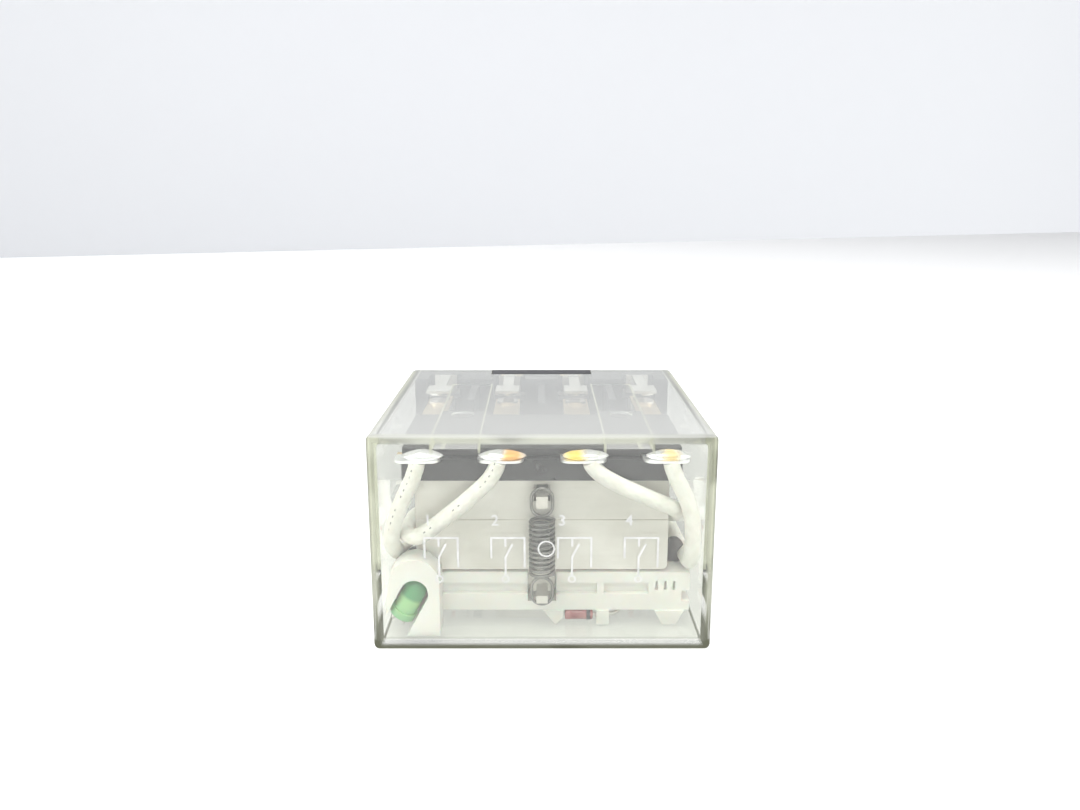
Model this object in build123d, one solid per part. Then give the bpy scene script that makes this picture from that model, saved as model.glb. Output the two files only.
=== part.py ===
from build123d import *

from math import cos, radians, sin, tan
import os

# Plug-in power relay with four change-over poles and a clear cover, in millimetres.
# The origin is the middle of the seating plane, where the blades leave the base.
# +Y runs along the blades into the socket, -Y out through the face of the cover,
# X along the row of poles, and +Z towards the contacts.

CUT_PAST = 1.0  # how far a cutter runs past the face that it opens
ARC_SHARE = 0.45  # the share of a wire's run that the arc at its end takes

# --- Case ---------------------------------------------------------------------
CASE_WIDTH = 41.5
CASE_HEIGHT = 27.5
CASE_DEPTH = 36.0
WALL = 1.2
EDGE_RADIUS = 0.7
FLANGE_THICKNESS = 0.9
FLANGE_INSET = 0.2
PLUG_LENGTH = 5.1
RIM_GAP = 0.05
PLUG_GAP = 0.1
LATCH_WIDTH = 15.7
LATCH_LENGTH = 3.1
LATCH_GAP = 0.1
PAD_START = 7.4
PAD_WIDTH = 5.7
PAD_THICKNESS = 0.6
PAD_REAR = -9.5
PAD_MARK_DIAMETER = 3.0
PAD_MARK_DEPTH = 0.3
PAD_MARK_SETBACK = 9.3

# --- Terminals and fixed contacts ---------------------------------------------
POLES = 4
POLE_PITCH = 10.0
BLADE_WIDTH = 4.75
BLADE_THICKNESS = 0.5
BLADE_LENGTH = 6.4
BLADE_TAPER = 0.9
BLADE_HOLE_WIDTH = 1.5
BLADE_HOLE_LENGTH = 2.6
SLOT_GAP = 0.1
NO_ROW = 9.4
NC_ROW = 5.0
COM_ROW = -3.0
COIL_ROW = -9.4
STRIP_THICKNESS = 0.4
STRIP_WIDTH = 3.4
ARM_WIDTH = 1.6
ARM_PAD_LENGTH = 3.4
STRIP_REACH = 7.3
CEILING_GAP = 0.08
CONTACT_DIAMETER = 3.0
CONTACT_THICKNESS = 0.4
CONTACT_SETBACK = 1.8
NO_POCKET_DEPTH = 3.0
LUG_LENGTH = 6.0
LUG_WIDTH = 2.8
COIL_LUG_LENGTH = 3.4
SIDE_LUG_X = 11.2
SIDE_LUG_HEIGHT = 3.0

# --- Insulating shelf and ribs of the base ------------------------------------
SHELF_THICKNESS = 0.8
SHELF_SIDE_GAP = 2.55
SHELF_FRONT_GAP = 0.5
RIB_THICKNESS = 1.0
RIB_LENGTH = 11.0
RIB_HEADROOM = 0.85
YOKE_STAND_OFF = 0.9
YOKE_BOSS_WIDTH = 1.6
YOKE_BOSS_HEIGHT = 2.5

# --- Moving contacts ----------------------------------------------------------
ARMATURE_TRAVEL = 2.85  # degrees
CONTACT_GAP_SPARE = 0.03
REST_GAP = 0.02
MOVING_CONTACT_HEAD = 0.45
MOVING_CONTACT_SHANK = 1.6
LEAF_THICKNESS = 0.3
LEAF_WIDTH = 3.6
LEAF_END_WIDTH = 5.6
LEAF_END_LENGTH = 3.4
LEAF_FRONT_GAP = 0.7
LEAF_TAIL = 2.3
FIT_GAP = 0.05
BLOCK_SIDE_GAP = 2.35
BLOCK_HEIGHT = 2.8
BLOCK_LENGTH = 12.3
BLOCK_CAP = 0.7
BLOCK_CAP_SETBACK = 0.9
BLOCK_OVERHANG = 2.3
SOLDER_LENGTH = 5.4
SOLDER_RADIUS = 1.25

# --- Armature, yoke and core --------------------------------------------------
HINGE_SETBACK = 4.8
ARMATURE_THICKNESS = 1.2
ARMATURE_SIDE_GAP = 3.75
ARMATURE_STEP_DROP = 4.3
ARMATURE_STEP = 0.15
ARMATURE_LEG_LENGTH = 6.0
HINGE_GAP = 0.1
YOKE_THICKNESS = 1.5
YOKE_WIDTH = 28.0
YOKE_LEG_WIDTH = 19.0
YOKE_LEG_DROP = 14.8
YOKE_FRONT_GAP = 0.03
TONGUE_WIDTH = 1.4
TONGUE_REACH = 0.5
TONGUE_SLOT_GAP = 0.35
HOOK_WIDTH = 2.4
HOOK_THICKNESS = 1.0
HOOK_DROP = 2.0
CORE_TAIL_STEP = 1.5
CORE_TAIL_PROUD = 0.2
POLE_HEAD_RIM = 1.0
POLE_HEAD_THICKNESS = 0.8
POLE_GAP_SPARE = 0.07

# --- Coil ---------------------------------------------------------------------
BOBBIN_WALL = 0.5
BOBBIN_GAP = 0.1
WINDING_CLEARANCE = 1.2
WINDING_FLOOR_GAP = 2.25
WINDING_DEPTH = 2.1
TAPE_THICKNESS = 0.2
TAPE_MARGIN = 1.4
FRONT_FLANGE_THICKNESS = 1.2
FRONT_FLANGE_SIDE_GAP = 3.55
FRONT_FLANGE_TOP = 1.0
FRONT_FLANGE_FLOOR_GAP = 1.55
REAR_FLANGE_THICKNESS = 0.7
REAR_FLANGE_WIDTH = 18.0
COIL_LEAD_DIAMETER = 0.8
COIL_LEAD_INSET = 2.5
COIL_LEAD_RISE = 1.4
COIL_LEAD_SPREAD = 5.6

# --- Return spring ------------------------------------------------------------
SPRING_DIAMETER = 3.3
SPRING_WIRE = 0.4
SPRING_TURNS = 12
SPRING_COIL_LENGTH = 7.3
SPRING_LOOP_DIAMETER = 2.6
SPRING_PLATE_GAP = 0.1

# --- White front moulding, lamp and diode -------------------------------------
BAR_FRONT_PROUD = 0.3
BAR_TOP_GAP = 0.3
BAR_HEIGHT = 5.1
BAR_SIDE_GAP = 0.85
BAR_FLOOR_GAP = 2.05
BAR_GROOVE_HEIGHT = 1.5
BAR_GROOVE_DEPTH = 0.6
BAR_GROOVE_DROP = 1.4
BAR_GROOVE_END = 5.2
BAR_POST_X = 7.4
BAR_POST_WIDTH = 0.9
BAR_WINDOW_WIDTH = 3.6
BAR_WINDOW_DROP = 3.9
BAR_NOTCH_HEIGHT = 1.4
BAR_NOTCH_DEPTH = 1.0
HOOD_SIDE_GAP = 0.35
HOOD_WIDTH = 6.6
HOOD_FRONT_GAP = 0.4
HOOD_WALL = 1.25
HOOD_ARC_RADIUS = 3.1
HOOD_REAR_GAP = 0.15
HOOD_SHOULDER = 2.6
FOOT_GAP = 0.15
FOOT_LENGTH = 1.6
FOOT_WIDTH = 1.6
FOOT_X = 7.7
WEDGE_X = 0.2
WEDGE_WIDTH = 2.5
WEDGE_SHOULDER = 0.9
WEDGE_TIP = 1.5
TAPER_FOOT_INSET = 2.55
TAPER_FOOT_WIDTH = 3.7
TAPER_FOOT_TIP = 1.7
TICKS = 3
TICK_WIDTH = 0.35
TICK_HEIGHT = 1.2
TICK_PITCH = 1.1
TICK_INSET = 2.0
LED_DIAMETER = 2.9
LED_FLANGE_DIAMETER = 3.3
LED_FLANGE_THICKNESS = 0.9
LED_LENGTH = 5.1
LED_TILT = 28.0  # degrees
LED_FOOT_INSET = 1.7
LED_FOOT_RISE = 2.45
LED_LEG_LENGTH = 1.2
LED_POCKET_GAP = 0.1
LED_PITCH = 1.5
LED_LEG = 0.45
DIODE_DIAMETER = 1.5
DIODE_LENGTH = 3.6
DIODE_X = 4.7
DIODE_LEAD = 0.45
DIODE_SETBACK = 0.5
DIODE_TAIL = 3.2
DIODE_LEAD_BEND = 0.8
DIODE_LEAD_RISE = 0.5
RESISTOR_DIAMETER = 1.7
RESISTOR_LENGTH = 4.2
RESISTOR_INSET = 2.5
RESISTOR_RISE = 0.45
RESISTOR_TAIL = 2.4
RESISTOR_LEAD = 0.5

# --- Flexible leads of the four moving contacts -------------------------------
LEAD_DIAMETER = 2.0
LEAD_SETBACK = 1.3  # from the inside of the cover's face to the lead's centre
LEAD_SIDE_GAP = 0.35

# --- Places worked out from the sizes above -----------------------------------
HALF_WIDTH = CASE_WIDTH / 2
HALF_HEIGHT = CASE_HEIGHT / 2
INNER_X = HALF_WIDTH - WALL
INNER_Z = HALF_HEIGHT - WALL
FACE_Y = -CASE_DEPTH
INNER_FACE_Y = FACE_Y + WALL
COVER_REAR_Y = -FLANGE_THICKNESS - RIM_GAP
PLUG_Y = -FLANGE_THICKNESS - PLUG_LENGTH
POLE_X = [(i - (POLES - 1) / 2) * POLE_PITCH for i in range(POLES)]
COIL_X = [POLE_X[0], POLE_X[-1]]

SWING = sin(radians(ARMATURE_TRAVEL))
HINGE_Y = INNER_FACE_Y + HINGE_SETBACK
STRIP_END_Y = PLUG_Y - STRIP_REACH
CONTACT_Y = STRIP_END_Y + CONTACT_SETBACK
CONTACT_GAP = (CONTACT_Y + CONTACT_DIAMETER / 2 - HINGE_Y) * SWING + CONTACT_GAP_SPARE
NO_STRIP_TOP = INNER_Z - CEILING_GAP
NO_STRIP_BOTTOM = NO_STRIP_TOP - STRIP_THICKNESS
NO_FACE_Z = NO_STRIP_BOTTOM - CONTACT_THICKNESS
LEAF_TOP = NO_FACE_Z - CONTACT_GAP - MOVING_CONTACT_HEAD
LEAF_BOTTOM = LEAF_TOP - LEAF_THICKNESS
NC_FACE_Z = LEAF_BOTTOM - MOVING_CONTACT_HEAD - REST_GAP
NC_STRIP_TOP = NC_FACE_Z - CONTACT_THICKNESS
BLOCK_BOTTOM = LEAF_BOTTOM - BLOCK_HEIGHT
LEG_BOTTOM = BLOCK_BOTTOM - ARMATURE_THICKNESS
YOKE_TOP = LEG_BOTTOM - HINGE_GAP
YOKE_BOTTOM = YOKE_TOP - YOKE_THICKNESS
HINGE_Z = YOKE_TOP
BAR_BOTTOM = -INNER_Z + BAR_FLOOR_GAP
BAR_TOP = BAR_BOTTOM + BAR_HEIGHT
PLATE_BOTTOM = BAR_TOP + BAR_TOP_GAP
ARMATURE_WIDTH = 2 * (INNER_X - ARMATURE_SIDE_GAP)
BLOCK_WIDTH = 2 * (INNER_X - BLOCK_SIDE_GAP)

PLATE_FRONT_Y = HINGE_Y - ARMATURE_THICKNESS
BLOCK_FRONT_Y = HINGE_Y - BLOCK_OVERHANG
BLOCK_REAR_Y = BLOCK_FRONT_Y + BLOCK_LENGTH
LEAF_FRONT_Y = INNER_FACE_Y + LEAF_FRONT_GAP
YOKE_FRONT_Y = HINGE_Y + YOKE_THICKNESS * SWING + YOKE_FRONT_GAP
YOKE_REAR_Y = PLUG_Y - YOKE_STAND_OFF
WINDING_TOP = YOKE_BOTTOM - WINDING_CLEARANCE
WINDING_DIAMETER = WINDING_TOP + INNER_Z - WINDING_FLOOR_GAP
CORE_Z = WINDING_TOP - WINDING_DIAMETER / 2
TUBE_DIAMETER = WINDING_DIAMETER - 2 * WINDING_DEPTH
CORE_DIAMETER = TUBE_DIAMETER - 2 * (BOBBIN_WALL + BOBBIN_GAP)
CORE_TAIL_DIAMETER = CORE_DIAMETER - 2 * CORE_TAIL_STEP
POLE_HEAD_DIAMETER = CORE_DIAMETER + 2 * POLE_HEAD_RIM
HEAD_REACH = HINGE_Z - (CORE_Z - POLE_HEAD_DIAMETER / 2)
POLE_FACE_Y = HINGE_Y + HEAD_REACH * SWING + POLE_GAP_SPARE
FLANGE_Y = POLE_FACE_Y + POLE_HEAD_THICKNESS
WINDING_FRONT_Y = FLANGE_Y + FRONT_FLANGE_THICKNESS
BOBBIN_REAR_Y = YOKE_REAR_Y - YOKE_THICKNESS - BOBBIN_GAP
WINDING_REAR_Y = BOBBIN_REAR_Y - REAR_FLANGE_THICKNESS

SPRING_Y = PLATE_FRONT_Y - SPRING_PLATE_GAP - SPRING_DIAMETER / 2
TONGUE_TIP_Y = INNER_FACE_Y + TONGUE_REACH
HOOK_TOP = PLATE_BOTTOM - HOOK_DROP
HOOK_BOTTOM = HOOK_TOP - HOOK_THICKNESS

BAR_RIGHT = INNER_X - BAR_SIDE_GAP
HOOD_LEFT = -INNER_X + HOOD_SIDE_GAP
HOOD_RIGHT = HOOD_LEFT + HOOD_WIDTH
BAR_FRONT_Y = PLATE_FRONT_Y - BAR_FRONT_PROUD
FOOT_BOTTOM = -INNER_Z + FOOT_GAP
HOOD_FRONT_Y = INNER_FACE_Y + HOOD_FRONT_GAP
HOOD_REAR_Y = PLATE_FRONT_Y - HOOD_REAR_GAP
LED_Y = HOOD_REAR_Y - LED_FLANGE_DIAMETER / 2
LED_FOOT = Vector(HOOD_LEFT + LED_FOOT_INSET, LED_Y, -INNER_Z + LED_FOOT_RISE)
LED_ALONG = Vector(sin(radians(LED_TILT)), 0, cos(radians(LED_TILT)))
LED_ACROSS = Vector(LED_ALONG.Z, 0, -LED_ALONG.X)
DIODE_Y = BAR_FRONT_Y + DIODE_SETBACK
DIODE_Z = BAR_BOTTOM - DIODE_DIAMETER / 2 - FIT_GAP
FLANGE_BOTTOM = -INNER_Z + FRONT_FLANGE_FLOOR_GAP
RESISTOR_X = COIL_X[0] + RESISTOR_INSET
RESISTOR_Z = FLANGE_BOTTOM + RESISTOR_RISE
SHELF_BOTTOM = YOKE_TOP + FIT_GAP
SHELF_TOP = SHELF_BOTTOM + SHELF_THICKNESS


def block(x, y, z):
    """A box from its (low, high) pairs along X, Y and Z."""
    size = [high - low for low, high in (x, y, z)]
    middle = [(low + high) / 2 for low, high in (x, y, z)]
    return Pos(*middle) * Box(*size)


def around(centre, width):
    """The (low, high) pair of a width about a centre."""
    return (centre - width / 2, centre + width / 2)


def rod(diameter, start, end):
    """A round bar from one point to another."""
    start = Vector(*start)
    run = Vector(*end) - start
    bar = Cylinder(diameter / 2, run.length, align=(Align.CENTER, Align.CENTER, Align.MIN))
    return Plane(origin=start, z_dir=run) * bar


def plate(outline, y):
    """A plate with an outline of (x, z) points, between two values of Y."""
    low, high = y
    face = make_face(Polyline(*[(px, low, pz) for px, pz in outline], close=True))
    return extrude(face, amount=high - low, dir=(0, 1, 0))


def bend_radii(points):
    """For each corner of a route, the largest arc that its two runs have room for."""
    points = [Vector(*p) for p in points]
    radii = []
    for before, corner, after in zip(points, points[1:], points[2:]):
        turn = radians((corner - before).get_angle(after - corner))
        run = min((corner - before).length, (after - corner).length)
        radii.append(ARC_SHARE * run / tan(turn / 2))
    return radii


def wire(points, diameter, name):
    """A round wire along straight runs joined by tangent arcs."""
    radii = bend_radii(points)
    path = FilletPolyline(*points, radius=radii)
    section = Plane(origin=path @ 0, z_dir=path % 0) * Circle(diameter / 2)
    body = sweep(section, path=path)
    ratio = body.volume / (section.area * path.length)
    print(name, "length", round(path.length, 1), "radii", [round(r, 1) for r in radii],
          "volume ratio", round(ratio, 3))
    return body


def save(name, *solids):
    """Write one node, made of one solid or of several separate ones."""
    shape = solids[0] if len(solids) == 1 else Compound(children=list(solids))
    export_step(shape, f"parts/{name}.step")


# --- Case ---------------------------------------------------------------------
def cover():
    outer = block(around(0, CASE_WIDTH), (FACE_Y, COVER_REAR_Y), around(0, CASE_HEIGHT))
    rear = outer.faces().sort_by(Axis.Y)[-1]
    outer = fillet(outer.edges() - rear.edges(), EDGE_RADIUS)
    inner = block((-INNER_X, INNER_X), (INNER_FACE_Y, 0), (-INNER_Z, INNER_Z))
    upright = inner.edges().filter_by(Axis.Y)
    inner = fillet(upright, EDGE_RADIUS / 2)
    shell = outer - inner
    for side in (-1, 1):
        centre = side * (PAD_START + PAD_WIDTH / 2)
        pad = block(around(centre, PAD_WIDTH), (INNER_FACE_Y, PAD_REAR), (INNER_Z - PAD_THICKNESS, INNER_Z))
        mark_y = INNER_FACE_Y + PAD_MARK_SETBACK
        low = INNER_Z - PAD_THICKNESS
        mark = rod(PAD_MARK_DIAMETER, (centre, mark_y, low), (centre, mark_y, low + PAD_MARK_DEPTH))
        shell = shell + pad - mark
    notch = block(around(0, LATCH_WIDTH), (COVER_REAR_Y - LATCH_LENGTH, 0), (-CASE_HEIGHT, CASE_HEIGHT))
    return shell - notch


def blade_slots():
    """Every place where a blade goes through the base, as (x, z)."""
    slots = [(x, z) for x in POLE_X for z in (NO_ROW, NC_ROW, COM_ROW)]
    return slots + [(x, COIL_ROW) for x in COIL_X]


def base_moulding():
    flange = block(around(0, CASE_WIDTH - 2 * FLANGE_INSET), (-FLANGE_THICKNESS, 0),
                   around(0, CASE_HEIGHT - 2 * FLANGE_INSET))
    flange = fillet(flange.edges().filter_by(Axis.Y), EDGE_RADIUS)
    plug_x = INNER_X - PLUG_GAP
    plug_z = INNER_Z - PLUG_GAP
    plug = block((-plug_x, plug_x), (PLUG_Y, -FLANGE_THICKNESS), (-plug_z, plug_z))
    plug = fillet(plug.edges().filter_by(Axis.Y), EDGE_RADIUS / 2)
    body = flange + plug
    for side in (-1, 1):
        reach = sorted((side * plug_z, side * (HALF_HEIGHT - FLANGE_INSET)))
        latch_y = COVER_REAR_Y - LATCH_LENGTH + LATCH_GAP
        body += block(around(0, LATCH_WIDTH - 2 * LATCH_GAP), (latch_y, -FLANGE_THICKNESS), reach)
        for level in (YOKE_BOTTOM - YOKE_BOSS_HEIGHT, YOKE_TOP - YOKE_LEG_DROP + YOKE_BOSS_HEIGHT):
            centre = side * (YOKE_LEG_WIDTH - YOKE_BOSS_WIDTH) / 2
            body += block(around(centre, YOKE_BOSS_WIDTH), (YOKE_REAR_Y, PLUG_Y),
                          around(level, YOKE_BOSS_HEIGHT))
    shelf_width = 2 * (INNER_X - SHELF_SIDE_GAP)
    body += block(around(0, shelf_width), (BLOCK_REAR_Y + SHELF_FRONT_GAP, PLUG_Y), (SHELF_BOTTOM, SHELF_TOP))
    for i in range(POLES - 1):
        middle = (POLE_X[i] + POLE_X[i + 1]) / 2
        body += block(around(middle, RIB_THICKNESS), (PLUG_Y - RIB_LENGTH, PLUG_Y),
                      (SHELF_BOTTOM, INNER_Z - RIB_HEADROOM))
    leg_front = nc_leg_y()[0] - SLOT_GAP
    for x in POLE_X:
        body -= block(around(x, STRIP_WIDTH + 2 * SLOT_GAP), (leg_front, PLUG_Y),
                      (SHELF_BOTTOM - CUT_PAST, SHELF_TOP + CUT_PAST))
        body -= block(around(x, BLADE_WIDTH + 2 * SLOT_GAP), (PLUG_Y, -NO_POCKET_DEPTH),
                      (NO_ROW - BLADE_THICKNESS / 2 - SLOT_GAP, INNER_Z))
    for x, z in blade_slots():
        body -= block(around(x, BLADE_WIDTH + 2 * SLOT_GAP), (PLUG_Y - CUT_PAST, CUT_PAST),
                      around(z, BLADE_THICKNESS + 2 * SLOT_GAP))
    return body


# --- Terminals and fixed contacts ---------------------------------------------
def blade(x, z, inner_y):
    """A flat blade with a chamfered tip and an oval hole, back to inner_y in the base."""
    body = block(around(x, BLADE_WIDTH), (inner_y, BLADE_LENGTH), around(z, BLADE_THICKNESS))
    tip = body.faces().sort_by(Axis.Y)[-1].edges().filter_by(Axis.Z)
    body = chamfer(tip, BLADE_TAPER)
    hole = SlotOverall(BLADE_HOLE_LENGTH, BLADE_HOLE_WIDTH, rotation=90)
    cutter = extrude(Plane.XY * hole, amount=BLADE_THICKNESS, both=True)
    return body - Pos(x, BLADE_LENGTH / 2, z) * cutter


def nc_leg_y():
    rear = PLUG_Y - SLOT_GAP
    return (rear - STRIP_THICKNESS, rear)


def contact_arm(x, rear, bottom, top):
    """A narrow arm with a wider pad at its end, under or over the fixed contact."""
    arm = block(around(x, ARM_WIDTH), (STRIP_END_Y, rear), (bottom, top))
    pad = block(around(x, STRIP_WIDTH), (STRIP_END_Y, STRIP_END_Y + ARM_PAD_LENGTH), (bottom, top))
    return arm + pad


def no_terminal(x):
    rear = -NO_POCKET_DEPTH
    leg_y = (rear - STRIP_THICKNESS, rear)
    low = NO_ROW - BLADE_THICKNESS / 2
    width = around(x, STRIP_WIDTH)
    body = blade(x, NO_ROW, rear)
    body += block(width, leg_y, (low, NO_STRIP_TOP))
    return body + contact_arm(x, rear, NO_STRIP_BOTTOM, NO_STRIP_TOP)


def nc_terminal(x):
    leg_y = nc_leg_y()
    low = NC_ROW - BLADE_THICKNESS / 2
    width = around(x, STRIP_WIDTH)
    body = blade(x, NC_ROW, leg_y[1])
    body += block(width, leg_y, (low, NC_STRIP_TOP))
    return body + contact_arm(x, leg_y[1], NC_STRIP_TOP - STRIP_THICKNESS, NC_STRIP_TOP)


def com_terminal(x):
    """The outer blades run on as lugs; the inner ones reach sideways, past the yoke."""
    leg_y = nc_leg_y()
    body = blade(x, COM_ROW, leg_y[0])
    if abs(x) > POLE_PITCH:
        lug = block(around(x, LUG_WIDTH), (leg_y[0] - LUG_LENGTH, leg_y[0]), around(COM_ROW, BLADE_THICKNESS))
        return body + lug
    side = 1 if x > 0 else -1
    height = around(COM_ROW, SIDE_LUG_HEIGHT)
    outer = side * SIDE_LUG_X
    body += block(sorted((x, outer)), leg_y, height)
    lug_x = sorted((outer, outer - side * BLADE_THICKNESS))
    return body + block(lug_x, (leg_y[0] - LUG_LENGTH, leg_y[1]), height)


def coil_terminal(x):
    body = blade(x, COIL_ROW, PLUG_Y)
    return body + block(around(x, LUG_WIDTH), (PLUG_Y - COIL_LUG_LENGTH, PLUG_Y),
                        around(COIL_ROW, BLADE_THICKNESS))


def contact_rivet(x, low, high):
    return rod(CONTACT_DIAMETER, (x, CONTACT_Y, low), (x, CONTACT_Y, high))


# --- Moving contacts and armature ---------------------------------------------
def moving_contact(x):
    """A two-sided contact riveted through the end of its leaf."""
    body = contact_rivet(x, LEAF_BOTTOM - MOVING_CONTACT_HEAD, LEAF_BOTTOM)
    body += contact_rivet(x, LEAF_TOP, LEAF_TOP + MOVING_CONTACT_HEAD)
    return body + rod(MOVING_CONTACT_SHANK, (x, CONTACT_Y, LEAF_BOTTOM), (x, CONTACT_Y, LEAF_TOP))


def moving_leaf(x):
    height = (LEAF_BOTTOM, LEAF_TOP)
    body = block(around(x, LEAF_WIDTH), (LEAF_FRONT_Y, CONTACT_Y + LEAF_TAIL), height)
    body += block(around(x, LEAF_END_WIDTH), (LEAF_FRONT_Y, LEAF_FRONT_Y + LEAF_END_LENGTH), height)
    front = body.edges().filter_by(Axis.Z).sort_by(Axis.Y)[:2]
    body = fillet(front, LEAF_WIDTH / 3)
    body -= rod(MOVING_CONTACT_SHANK + FIT_GAP, (x, CONTACT_Y, LEAF_BOTTOM), (x, CONTACT_Y, LEAF_TOP))
    return body


def moving_block():
    """The insulating block, moulded round the leaves, with a lower step in front for the solder."""
    body = block(around(0, BLOCK_WIDTH), (BLOCK_FRONT_Y, BLOCK_REAR_Y), (BLOCK_BOTTOM, LEAF_BOTTOM))
    cap = block(around(0, BLOCK_WIDTH), (BLOCK_FRONT_Y + BLOCK_CAP_SETBACK, BLOCK_REAR_Y),
                (LEAF_BOTTOM, LEAF_TOP + BLOCK_CAP))
    body = fillet((body + cap).edges().filter_by(Axis.Z), EDGE_RADIUS / 2)
    height = (LEAF_BOTTOM, LEAF_TOP)
    for x in POLE_X:
        body -= block(around(x, LEAF_WIDTH + 2 * FIT_GAP), (BLOCK_FRONT_Y, BLOCK_REAR_Y), height)
        wide_end = LEAF_FRONT_Y + LEAF_END_LENGTH + FIT_GAP
        body -= block(around(x, LEAF_END_WIDTH + 2 * FIT_GAP), (BLOCK_FRONT_Y, wide_end), height)
    return body


def armature():
    """The plate in front of the pole head, its leg on the yoke, and the spring's hook."""
    body = block(around(0, ARMATURE_WIDTH), (PLATE_FRONT_Y, HINGE_Y), (PLATE_BOTTOM, BLOCK_BOTTOM))
    body = fillet(body.edges().filter_by(Axis.Y).sort_by(Axis.Z)[:2], EDGE_RADIUS)
    leg_y = (PLATE_FRONT_Y, HINGE_Y + ARMATURE_LEG_LENGTH)
    body += block(around(0, YOKE_WIDTH), leg_y, (LEG_BOTTOM, BLOCK_BOTTOM))
    step_z = HINGE_Z - ARMATURE_STEP_DROP
    step_y = (PLATE_FRONT_Y - CUT_PAST, PLATE_FRONT_Y + ARMATURE_STEP)
    body -= block(around(0, ARMATURE_WIDTH + CUT_PAST), step_y, (step_z, BLOCK_BOTTOM + CUT_PAST))
    slot = TONGUE_WIDTH + 2 * TONGUE_SLOT_GAP
    body -= block(around(0, slot), (PLATE_FRONT_Y - CUT_PAST, HINGE_Y + CUT_PAST),
                  (YOKE_BOTTOM - TONGUE_SLOT_GAP, YOKE_TOP + TONGUE_SLOT_GAP))
    body += block(around(0, HOOK_WIDTH), (PLATE_FRONT_Y, HINGE_Y), (HOOK_BOTTOM, PLATE_BOTTOM))
    return body + block(around(0, TONGUE_WIDTH), (TONGUE_TIP_Y, HINGE_Y), (HOOK_BOTTOM, HOOK_TOP))


def solder_joint(x):
    """A bead lying across the wide end of the leaf: the upper half of a spindle about X."""
    half = SOLDER_LENGTH / 2
    arc = ThreePointArc((-half, 0, 0), (0, 0, SOLDER_RADIUS), (half, 0, 0))
    profile = make_face([arc, Line((half, 0, 0), (-half, 0, 0))])
    spindle = revolve(profile, Axis.X, 360)
    upper = block(around(0, SOLDER_LENGTH), around(0, SOLDER_LENGTH), (0, SOLDER_LENGTH))
    return Pos(x, LEAF_FRONT_Y + SOLDER_RADIUS + FIT_GAP, LEAF_TOP) * (spindle & upper)


# --- Magnet -------------------------------------------------------------------
def yoke():
    top = block(around(0, YOKE_WIDTH), (YOKE_FRONT_Y, YOKE_REAR_Y), (YOKE_BOTTOM, YOKE_TOP))
    leg = block(around(0, YOKE_LEG_WIDTH), (YOKE_REAR_Y - YOKE_THICKNESS, YOKE_REAR_Y),
                (YOKE_TOP - YOKE_LEG_DROP, YOKE_TOP))
    tongue = block(around(0, TONGUE_WIDTH), (TONGUE_TIP_Y, YOKE_FRONT_Y), (YOKE_BOTTOM, YOKE_TOP))
    body = top + leg + tongue
    bore = CORE_TAIL_DIAMETER + FIT_GAP
    return body - rod(bore, (0, YOKE_REAR_Y - YOKE_THICKNESS - CUT_PAST, CORE_Z),
                      (0, YOKE_REAR_Y + CUT_PAST, CORE_Z))


def core():
    shoulder = YOKE_REAR_Y - YOKE_THICKNESS
    body = rod(POLE_HEAD_DIAMETER, (0, POLE_FACE_Y, CORE_Z), (0, FLANGE_Y, CORE_Z))
    body += rod(CORE_DIAMETER, (0, FLANGE_Y, CORE_Z), (0, shoulder, CORE_Z))
    return body + rod(CORE_TAIL_DIAMETER, (0, shoulder, CORE_Z), (0, YOKE_REAR_Y + CORE_TAIL_PROUD, CORE_Z))


def bobbin():
    flange_z = (FLANGE_BOTTOM, YOKE_BOTTOM - FRONT_FLANGE_TOP)
    body = block(around(0, 2 * (INNER_X - FRONT_FLANGE_SIDE_GAP)), (FLANGE_Y, WINDING_FRONT_Y), flange_z)
    body += rod(TUBE_DIAMETER, (0, WINDING_FRONT_Y, CORE_Z), (0, WINDING_REAR_Y, CORE_Z))
    body += block(around(0, REAR_FLANGE_WIDTH), (WINDING_REAR_Y, BOBBIN_REAR_Y), flange_z)
    return body - rod(CORE_DIAMETER + 2 * BOBBIN_GAP, (0, FLANGE_Y - CUT_PAST, CORE_Z),
                      (0, BOBBIN_REAR_Y + CUT_PAST, CORE_Z))


def ring(outer, inner, front, rear):
    body = rod(outer, (0, front, CORE_Z), (0, rear, CORE_Z))
    return body - rod(inner, (0, front, CORE_Z), (0, rear, CORE_Z))


def spring_loop(end, tongue):
    """The long loop from an end of the coil to the tongue that it hooks over."""
    radius = SPRING_LOOP_DIAMETER / 2
    out = 1 if tongue > end else -1
    near = end + out * (radius + SPRING_WIRE)
    flat = Plane(origin=(0, SPRING_Y, (near + tongue) / 2), x_dir=(0, 0, 1), z_dir=(0, -1, 0))
    outline = SlotCenterToCenter(abs(tongue - near), SPRING_LOOP_DIAMETER)
    path = (flat * outline).face().outer_wire()
    section = Plane(origin=path @ 0, z_dir=path % 0) * Circle(SPRING_WIRE / 2)
    return sweep(section, path=path)


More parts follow.
